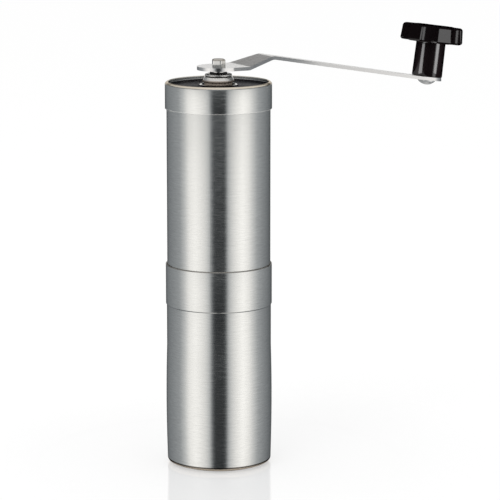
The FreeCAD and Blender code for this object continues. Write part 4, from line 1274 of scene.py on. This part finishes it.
class GRINDER_OT_knob(bpy.types.Operator):
    """Model the lobed knob, its pivot screw, brass insert and friction washer"""

    bl_idname = "grinder.knob"
    bl_label = "Knob"

    RING_POINTS = 360
    EDGE_LEVELS = 6
    FOOT_CUT = 0.3
    BORE_POINTS = 96
    DOME_STEPS = 12

    def execute(self, context):
        size = context.scene.grinder_knob
        grip = lofted("lobed_knob", self.grip_levels(size), self.RING_POINTS)
        self.bore(size, grip)
        seat_on_crank(grip)
        settle(grip, "knob_grip", finish_named("polished_knob_plastic"))

        screw = self.pivot_screw(size)
        seat_on_crank(screw)
        settle(screw, "knob_screw", finish_named("plated_fastener"))
        settle(copied("knob_insert", "stem_insert"), "knob_insert", finish_named("turned_brass"))
        settle(copied("knob_washer", "friction_washer"), "knob_washer", finish_named("bush_acetal"))
        return {"FINISHED"}

    @staticmethod
    def lobed(size, inset, height):
        """Radius of the head's outline by angle, drawn in by an inset and by the head's draft."""
        pitch = FULL_TURN / size.lobes
        middle = (size.head_low + size.head_high) / 2
        inset += size.head_draft * (height - middle) / (middle - size.head_low)
        face = size.head_flat - inset
        flute = size.flute_radius + inset

        def radius(angle):
            aside = (angle - size.lobe_phase) % pitch - pitch / 2
            across = size.flute_distance * math.sin(aside)
            outer = face / math.cos(pitch / 2 - abs(aside))
            if abs(across) >= flute:
                return outer
            hollow = size.flute_distance * math.cos(aside) - math.sqrt(flute * flute - across * across)
            blend = max(size.lobe_round - abs(hollow - outer), 0.0) / size.lobe_round
            return min(hollow, outer) - blend * blend * size.lobe_round / 4

        return radius

    def grip_levels(self, size):
        """Levels of the grip, from the stem's foot to the top of the head."""
        edge = size.head_edge
        fillet = size.stem_fillet
        cut = self.FOOT_CUT * size.stem_edge
        levels = [
            (size.stem_low, size.stem_foot - size.stem_edge),
            (size.stem_low + cut, size.stem_foot - cut),
            (size.stem_low + size.stem_edge, size.stem_foot),
        ]
        angles = [RIGHT_ANGLE * index / self.EDGE_LEVELS for index in range(self.EDGE_LEVELS + 1)]
        for angle in angles:
            height = size.head_low - fillet + fillet * math.sin(angle)
            levels.append((height, size.stem_top + fillet * (1 - math.cos(angle))))
        for angle in angles:
            height = size.head_low + edge * (1 - math.cos(angle))
            levels.append((height, self.lobed(size, edge * (1 - math.sin(angle)), height)))
        for angle in angles:
            height = size.head_high - edge * (1 - math.sin(angle))
            levels.append((height, self.lobed(size, edge * (1 - math.cos(angle)), height)))
        return levels

    def bore(self, size, grip):
        """Bores the stem for its insert and for the washer under it."""
        for radius, top in ((size.bore, size.bore_top), (size.seat, size.seat_top)):
            start_clean()
            bpy.ops.mesh.primitive_cylinder_add(vertices=self.BORE_POINTS, radius=radius, depth=2 * top)
            cut_away(grip, name_piece("bore_cutter"))
        bpy.ops.object.shade_smooth_by_angle(angle=SMOOTH_ANGLE)

    def pivot_screw(self, size):
        """Turns the domed screw and presses a cross recess into its head."""
        seat = -size.screw_seat
        rim = seat - size.screw_rim
        end = seat - size.screw_height
        crown = size.screw_height - size.screw_rim
        dome_radius = (size.screw_head ** 2 + crown ** 2) / (2 * crown)
        dome = bowed((0, end), (size.screw_head, rim), dome_radius, self.DOME_STEPS)
        outline = [
            (0, end, 0),
            *dome,
            (size.screw_head, rim, 0),
            (size.screw_head, seat, size.screw_edge),
            (size.screw_radius, seat, 0),
            (size.screw_radius, size.screw_end, size.screw_tip),
            (0, size.screw_end, 0),
        ]
        screw = turned("pivot_screw", rounded(outline, closed=False), closed=False)
        long = size.recess_reach
        short = size.recess_width / 2
        taper = (size.recess_taper, size.recess_taper, 1.0)
        for reach_x, reach_y in ((long, short), (short, long)):
            start_clean()
            bpy.ops.mesh.primitive_cube_add(
                size=2.0, location=(0, 0, end), scale=(reach_x, reach_y, size.recess_depth)
            )
            cutter = name_piece("recess_cutter")
            edit_all()
            mesh = bmesh.from_edit_mesh(cutter.data)
            for vertex in mesh.verts:
                vertex.select = vertex.co.z > end
            bmesh.update_edit_mesh(cutter.data)
            bpy.ops.transform.resize(value=taper, center_override=(0, 0, end))
            bpy.ops.object.mode_set(mode="OBJECT")
            cut_away(screw, cutter)
        bpy.ops.object.shade_smooth_by_angle(angle=SMOOTH_ANGLE)
        return screw


class GRINDER_OT_stage(bpy.types.Operator):
    """Set the camera, the pale floor and the soft studio light"""

    bl_idname = "grinder.stage"
    bl_label = "Stage"

    BRIGHTEST = 1.6
    TENT_SEGMENTS = 96
    TENT_RINGS = 48

    # Light of the tent's walls below eye level, by degrees to the right of the camera
    WALLS = (
        (-180, 0.03), (-162, 0.08), (-148, 0.21), (-118, 0.31), (-96, 0.40), (-81, 0.70), (-69, 1.12),
        (-54, 1.28), (-41, 1.14), (-30, 0.94), (-21, 0.66), (-15, 0.16), (-10, 0.03),
        (11, 0.03), (15.5, 0.10), (20.5, 0.57), (29, 0.86), (41, 1.14), (54, 1.34), (69, 1.12),
        (80, 0.80), (95, 0.46), (114, 0.32), (145, 0.17), (162, 0.07), (180, 0.03),
    )
    # Light above the walls by the sine of the elevation, in front of the object and behind it
    FRONT = ((-1.0, 0.05), (-0.10, 0.06), (0.08, 0.22), (0.36, 0.22), (0.46, 0.85), (0.75, 1.0), (1.0, 1.0))
    BACK = ((-1.0, 0.40), (-0.80, 0.36), (-0.66, 0.30), (-0.06, 0.78), (0.06, 0.80), (0.14, 0.82),
            (0.285, 0.97), (0.315, 0.21), (0.55, 0.22), (0.72, 1.0), (1.0, 1.0))
    # How far the walls count by the sine of the elevation, in front of the object and behind it
    FRONT_WALLS = ((-1.0, 0.5), (-0.66, 0.5), (-0.50, 0.8), (-0.28, 0.92), (0.0, 1.0), (0.07, 0.0),
                   (1.0, 0.0))
    BACK_WALLS = ((-1.0, 0.0), (-0.66, 0.0), (-0.50, 0.8), (-0.075, 1.0), (-0.025, 0.0), (1.0, 0.0))
    # How far the back counts, by degrees away from the camera
    BACK_SHARE = ((0, 0.0), (146, 0.0), (166, 1.0), (180, 1.0))

    def execute(self, context):
        stage = context.scene.grinder_stage
        self.camera(context, stage)
        self.floor(stage)
        self.tent(stage)
        self.key_lamp(stage)
        self.knob_lamps(context, stage)
        self.world(context, stage)
        context.scene.view_settings.view_transform = "Standard"
        return {"FINISHED"}

    @staticmethod
    def camera(context, stage):
        """Stands the camera where the photograph was taken from."""
        start_clean()
        heading = stage.bearing
        place = (-stage.distance * math.sin(heading), -stage.distance * math.cos(heading), stage.height)
        tilt = (RIGHT_ANGLE - stage.pitch, 0.0, -heading - stage.aside)
        bpy.ops.object.camera_add(location=place, rotation=tilt)
        camera = bpy.context.object
        camera.name = "photo_camera"
        camera.data.lens = stage.focal_length
        camera.data.sensor_width = 36.0
        camera.data.clip_start = 0.01
        camera.data.dof.use_dof = False
        context.scene.camera = camera

    @staticmethod
    def floor(stage):
        """Lays a pale floor, glossy near the base, that takes the object's shadow and mirrors its foot."""
        start_clean()
        bpy.ops.mesh.primitive_plane_add(size=2 * stage.floor_reach)
        floor = name_piece("studio_floor")
        finish, tree, shader = new_finish("floor_paper", stage.floor_colour, roughness=0.9)
        shader.inputs["Specular IOR Level"].default_value = 0.0
        fibres = noise(tree, object_place(tree), scale=3.0)
        vary_colour(tree, shader, fibres, stage.floor_colour, spread=0.005)
        seen = add_node(tree, "ShaderNodeLightPath").outputs["Is Camera Ray"]
        white = add_node(tree, "ShaderNodeEmission", {"Color": (*WHITE, 1.0), "Strength": 1.0})
        glow = math_node(tree, "MULTIPLY", seen, stage.floor_glow)
        paper = add_node(tree, "ShaderNodeMixShader", {0: glow, 1: shader.outputs[0], 2: white.outputs[0]})
        away = add_node(tree, "ShaderNodeVectorMath", {0: object_place(tree)}, operation="LENGTH")
        fade = add_node(tree, "ShaderNodeMapRange", {
            "Value": away.outputs["Value"], "From Min": stage.gloss_reach, "From Max": stage.gloss_end,
            "To Min": 1.0, "To Max": 0.0,
        })
        fresnel = add_node(tree, "ShaderNodeFresnel", {"IOR": stage.gloss_index})
        gloss_share = math_node(tree, "MULTIPLY", fade.outputs["Result"], fresnel.outputs[0])
        gloss = add_node(tree, "ShaderNodeBsdfGlossy", {"Color": (*WHITE, 1.0), "Roughness": 0.05})
        surface = add_node(tree, "ShaderNodeMixShader",
                           {0: gloss_share, 1: paper.outputs[0], 2: gloss.outputs[0]})
        tree.links.new(surface.outputs[0], tree.nodes["Material Output"].inputs["Surface"])
        floor.data.materials.append(finish)
        floor.visible_glossy = False

    def tent(self, stage):
        """Hangs a tent that only the steel's reflections show: two soft boxes between dark flags."""
        start_clean()
        bpy.ops.mesh.primitive_uv_sphere_add(
            segments=self.TENT_SEGMENTS, ring_count=self.TENT_RINGS, radius=stage.tent_reach
        )
        tent = name_piece("studio_tent")
        bpy.ops.object.shade_smooth()
        finish = bpy.data.materials.new("tent_cloth")
        finish.use_nodes = True
        tree = finish.node_tree
        tree.nodes.clear()
        facing = {"Vector": object_place(tree), "Rotation": (0.0, 0.0, RIGHT_ANGLE + stage.bearing)}
        turned_place = add_node(tree, "ShaderNodeMapping", facing, vector_type="POINT")
        sweep = add_node(tree, "ShaderNodeTexGradient", {"Vector": turned_place.outputs["Vector"]},
                         gradient_type="RADIAL").outputs["Fac"]
        split = add_node(tree, "ShaderNodeSeparateXYZ", {"Vector": object_place(tree)})
        rise = math_node(tree, "DIVIDE", split.outputs["Z"], 2 * stage.tent_reach)
        rise = math_node(tree, "ADD", rise, 0.5)
        aside = math_node(tree, "ABSOLUTE", math_node(tree, "SUBTRACT", sweep, 0.5))
        away = math_node(tree, "MULTIPLY", aside, 2.0)

        by_turn = [(0.5 + angle / 360, light) for angle, light in self.WALLS]
        walls = self.ramp(tree, sweep, by_turn, stage.cool)
        front = self.ramp(tree, rise, self.by_sine(self.FRONT), stage.cool)
        back = self.ramp(tree, rise, self.by_sine(self.BACK), 0.0)
        back_share = self.ramp(tree, away, [(angle / 180, part) for angle, part in self.BACK_SHARE])
        front_walls = self.ramp(tree, rise, self.by_sine(self.FRONT_WALLS))
        back_walls = self.ramp(tree, rise, self.by_sine(self.BACK_WALLS))
        wall_share = mixed(tree, back_share, front_walls, back_walls)
        upper = mixed(tree, back_share, front, back)
        light = mixed(tree, wall_share, upper, walls)
        glow = add_node(tree, "ShaderNodeEmission", {"Color": light, "Strength": self.BRIGHTEST})
        output = add_node(tree, "ShaderNodeOutputMaterial")
        tree.links.new(glow.outputs[0], output.inputs["Surface"])
        tent.data.materials.append(finish)
        for ray in ("camera", "diffuse", "transmission", "volume_scatter", "shadow"):
            setattr(tent, "visible_" + ray, False)
        unlit = bpy.data.collections.new("tent_unlit")
        unlit.objects.link(bpy.data.objects["lobed_knob"])
        unlit.collection_objects[0].light_linking.link_state = "EXCLUDE"
        tent.light_linking.receiver_collection = unlit

    @staticmethod
    def by_sine(stops):
        """Moves stops placed by a sine onto a ramp's own range."""
        return [(0.5 + sine / 2, light) for sine, light in stops]

    def ramp(self, tree, factor, stops, cool=None):
        """Returns a ramp through (place, light) stops: plain, or by the brightest with cool shade."""
        node = add_node(tree, "ShaderNodeValToRGB", {"Fac": factor})
        ramp = node.color_ramp
        ramp.interpolation = "LINEAR"
        while len(ramp.elements) < len(stops):
            ramp.elements.new(0.5)
        for element, (place, light) in zip(ramp.elements, stops):
            element.position = place
            if cool is None:
                element.color = (light, light, light, 1.0)
                continue
            shade = cool * max(0.0, 1.0 - light)
            level = light / self.BRIGHTEST
            element.color = (level * (1 - shade), level, level * (1 + shade), 1.0)
        return node.outputs["Color"]

    @staticmethod
    def area_lamp(name, place, size, power):
        """Hangs one oblong lamp."""
        start_clean()
        bpy.ops.object.light_add(type="AREA", location=place)
        lamp = bpy.context.object
        lamp.name = name
        lamp.data.shape = "RECTANGLE"
        lamp.data.size, lamp.data.size_y = size
        lamp.data.energy = power
        return lamp

    def key_lamp(self, stage):
        """Hangs one large soft lamp over the camera's left shoulder, out of the reflections."""
        square = (stage.key_size, stage.key_size)
        lamp = self.area_lamp("key_softbox", stage.key_place, square, stage.key_power)
        aim = Vector((0.0, 0.0, stage.key_aim)) - lamp.location
        lamp.rotation_euler = aim.to_track_quat("-Z", "Y").to_euler()
        lamp.visible_glossy = False

    def knob_lamps(self, context, stage):
        """Draws the highlights on the knob alone: a tall strip lamp and two small lamps beside the stem."""
        knob = context.scene.grinder_knob
        to_camera = -RIGHT_ANGLE - stage.bearing
        upright = Vector((0.0, 0.0, 1.0))
        aside = self.level_way(to_camera + stage.strip_angle)
        self.knob_lamp("strip_lamp", KNOB_PIVOT + aside * stage.strip_distance, -aside, upright,
                       (stage.strip_width, stage.strip_height), stage.strip_power)
        middle = KNOB_PIVOT + KNOB_AXIS * (knob.stem_low + stage.stem_height / 2)
        for name, angle, away in (
            ("left_stem_lamp", stage.left_angle, stage.left_facing),
            ("right_stem_lamp", stage.right_angle, stage.right_facing),
        ):
            place = middle + self.level_way(to_camera + angle) * stage.stem_distance
            facing = -self.level_way(to_camera + away)
            self.knob_lamp(name, place, facing, KNOB_AXIS, (stage.stem_width, stage.stem_height),
                           stage.stem_power)

    @staticmethod
    def level_way(heading):
        """Returns a level direction."""
        return Vector((math.cos(heading), math.sin(heading), 0.0))

    def knob_lamp(self, name, place, facing, upright, size, power):
        """Stands one oblong lamp that lights only the knob, facing one way with its length along another."""
        lamp = self.area_lamp(name, place, size, power)
        across = upright.cross(-facing).normalized()
        along = (-facing).cross(across).normalized()
        lamp.rotation_euler = Matrix((across, along, -facing)).transposed().to_euler()
        lamp.visible_camera = False
        lit = bpy.data.collections.new(name + "_lit")
        lit.objects.link(bpy.data.objects["lobed_knob"])
        lamp.light_linking.receiver_collection = lit

    @staticmethod
    def world(context, stage):
        """Surrounds the object with even light, and shows plain white to the camera and in reflections."""
        world = bpy.data.worlds.new("studio_surround")
        world.use_nodes = True
        context.scene.world = world
        tree = world.node_tree
        tree.nodes.clear()
        path = add_node(tree, "ShaderNodeLightPath")
        seen = math_node(tree, "MAXIMUM", path.outputs["Is Camera Ray"], path.outputs["Is Glossy Ray"])
        seen = math_node(tree, "MAXIMUM", seen, path.outputs["Is Transmission Ray"])
        even = add_node(tree, "ShaderNodeBackground", {"Color": (*WHITE, 1.0), "Strength": stage.fill})
        white = add_node(tree, "ShaderNodeBackground", {"Color": (*WHITE, 1.0), "Strength": 1.0})
        mix = add_node(tree, "ShaderNodeMixShader", {0: seen, 1: even.outputs[0], 2: white.outputs[0]})
        output = add_node(tree, "ShaderNodeOutputWorld")
        tree.links.new(mix.outputs[0], output.inputs["Surface"])


STEPS = (
    GRINDER_OT_cup,
    GRINDER_OT_tube,
    GRINDER_OT_lid,
    GRINDER_OT_bearing,
    GRINDER_OT_shaft,
    GRINDER_OT_mill,
    GRINDER_OT_adjuster,
    GRINDER_OT_crank,
    GRINDER_OT_knob,
    GRINDER_OT_stage,
)
SETTINGS = {
    "grinder_shell": ShellSizes,
    "grinder_bearing": BearingSizes,
    "grinder_crank": CrankSizes,
    "grinder_knob": KnobSizes,
    "grinder_colours": FinishColours,
    "grinder_stage": StageSetup,
}


class GRINDER_PT_sidebar(bpy.types.Panel):
    """The grinder's steps and settings"""

    bl_idname = "GRINDER_PT_sidebar"
    bl_label = "Coffee Grinder"
    bl_space_type = "VIEW_3D"
    bl_region_type = "UI"
    bl_category = "Grinder"

    def draw(self, context):
        column = self.layout.column(align=True)
        for step in STEPS:
            column.operator(step.bl_idname)
        for key, group in SETTINGS.items():
            settings = getattr(context.scene, key)
            box = self.layout.box()
            for name in group.__annotations__:
                box.prop(settings, name)


def register():
    """Adds the settings, the steps and the panel."""
    for key, group in SETTINGS.items():
        bpy.utils.register_class(group)
        setattr(bpy.types.Scene, key, bpy.props.PointerProperty(type=group))
    for step in (*STEPS, GRINDER_PT_sidebar):
        bpy.utils.register_class(step)


def unregister():
    """Removes the panel, the steps and the settings."""
    for step in (GRINDER_PT_sidebar, *reversed(STEPS)):
        bpy.utils.unregister_class(step)
    for key, group in SETTINGS.items():
        delattr(bpy.types.Scene, key)
        bpy.utils.unregister_class(group)


def main():
    """Runs every step in order."""
    register()
    bpy.ops.grinder.cup()
    bpy.ops.grinder.tube()
    bpy.ops.grinder.lid()
    bpy.ops.grinder.bearing()
    bpy.ops.grinder.shaft()
    bpy.ops.grinder.mill()
    bpy.ops.grinder.adjuster()
    bpy.ops.grinder.crank()
    bpy.ops.grinder.knob()
    bpy.ops.grinder.stage()


if __name__ == "__main__":
    main()
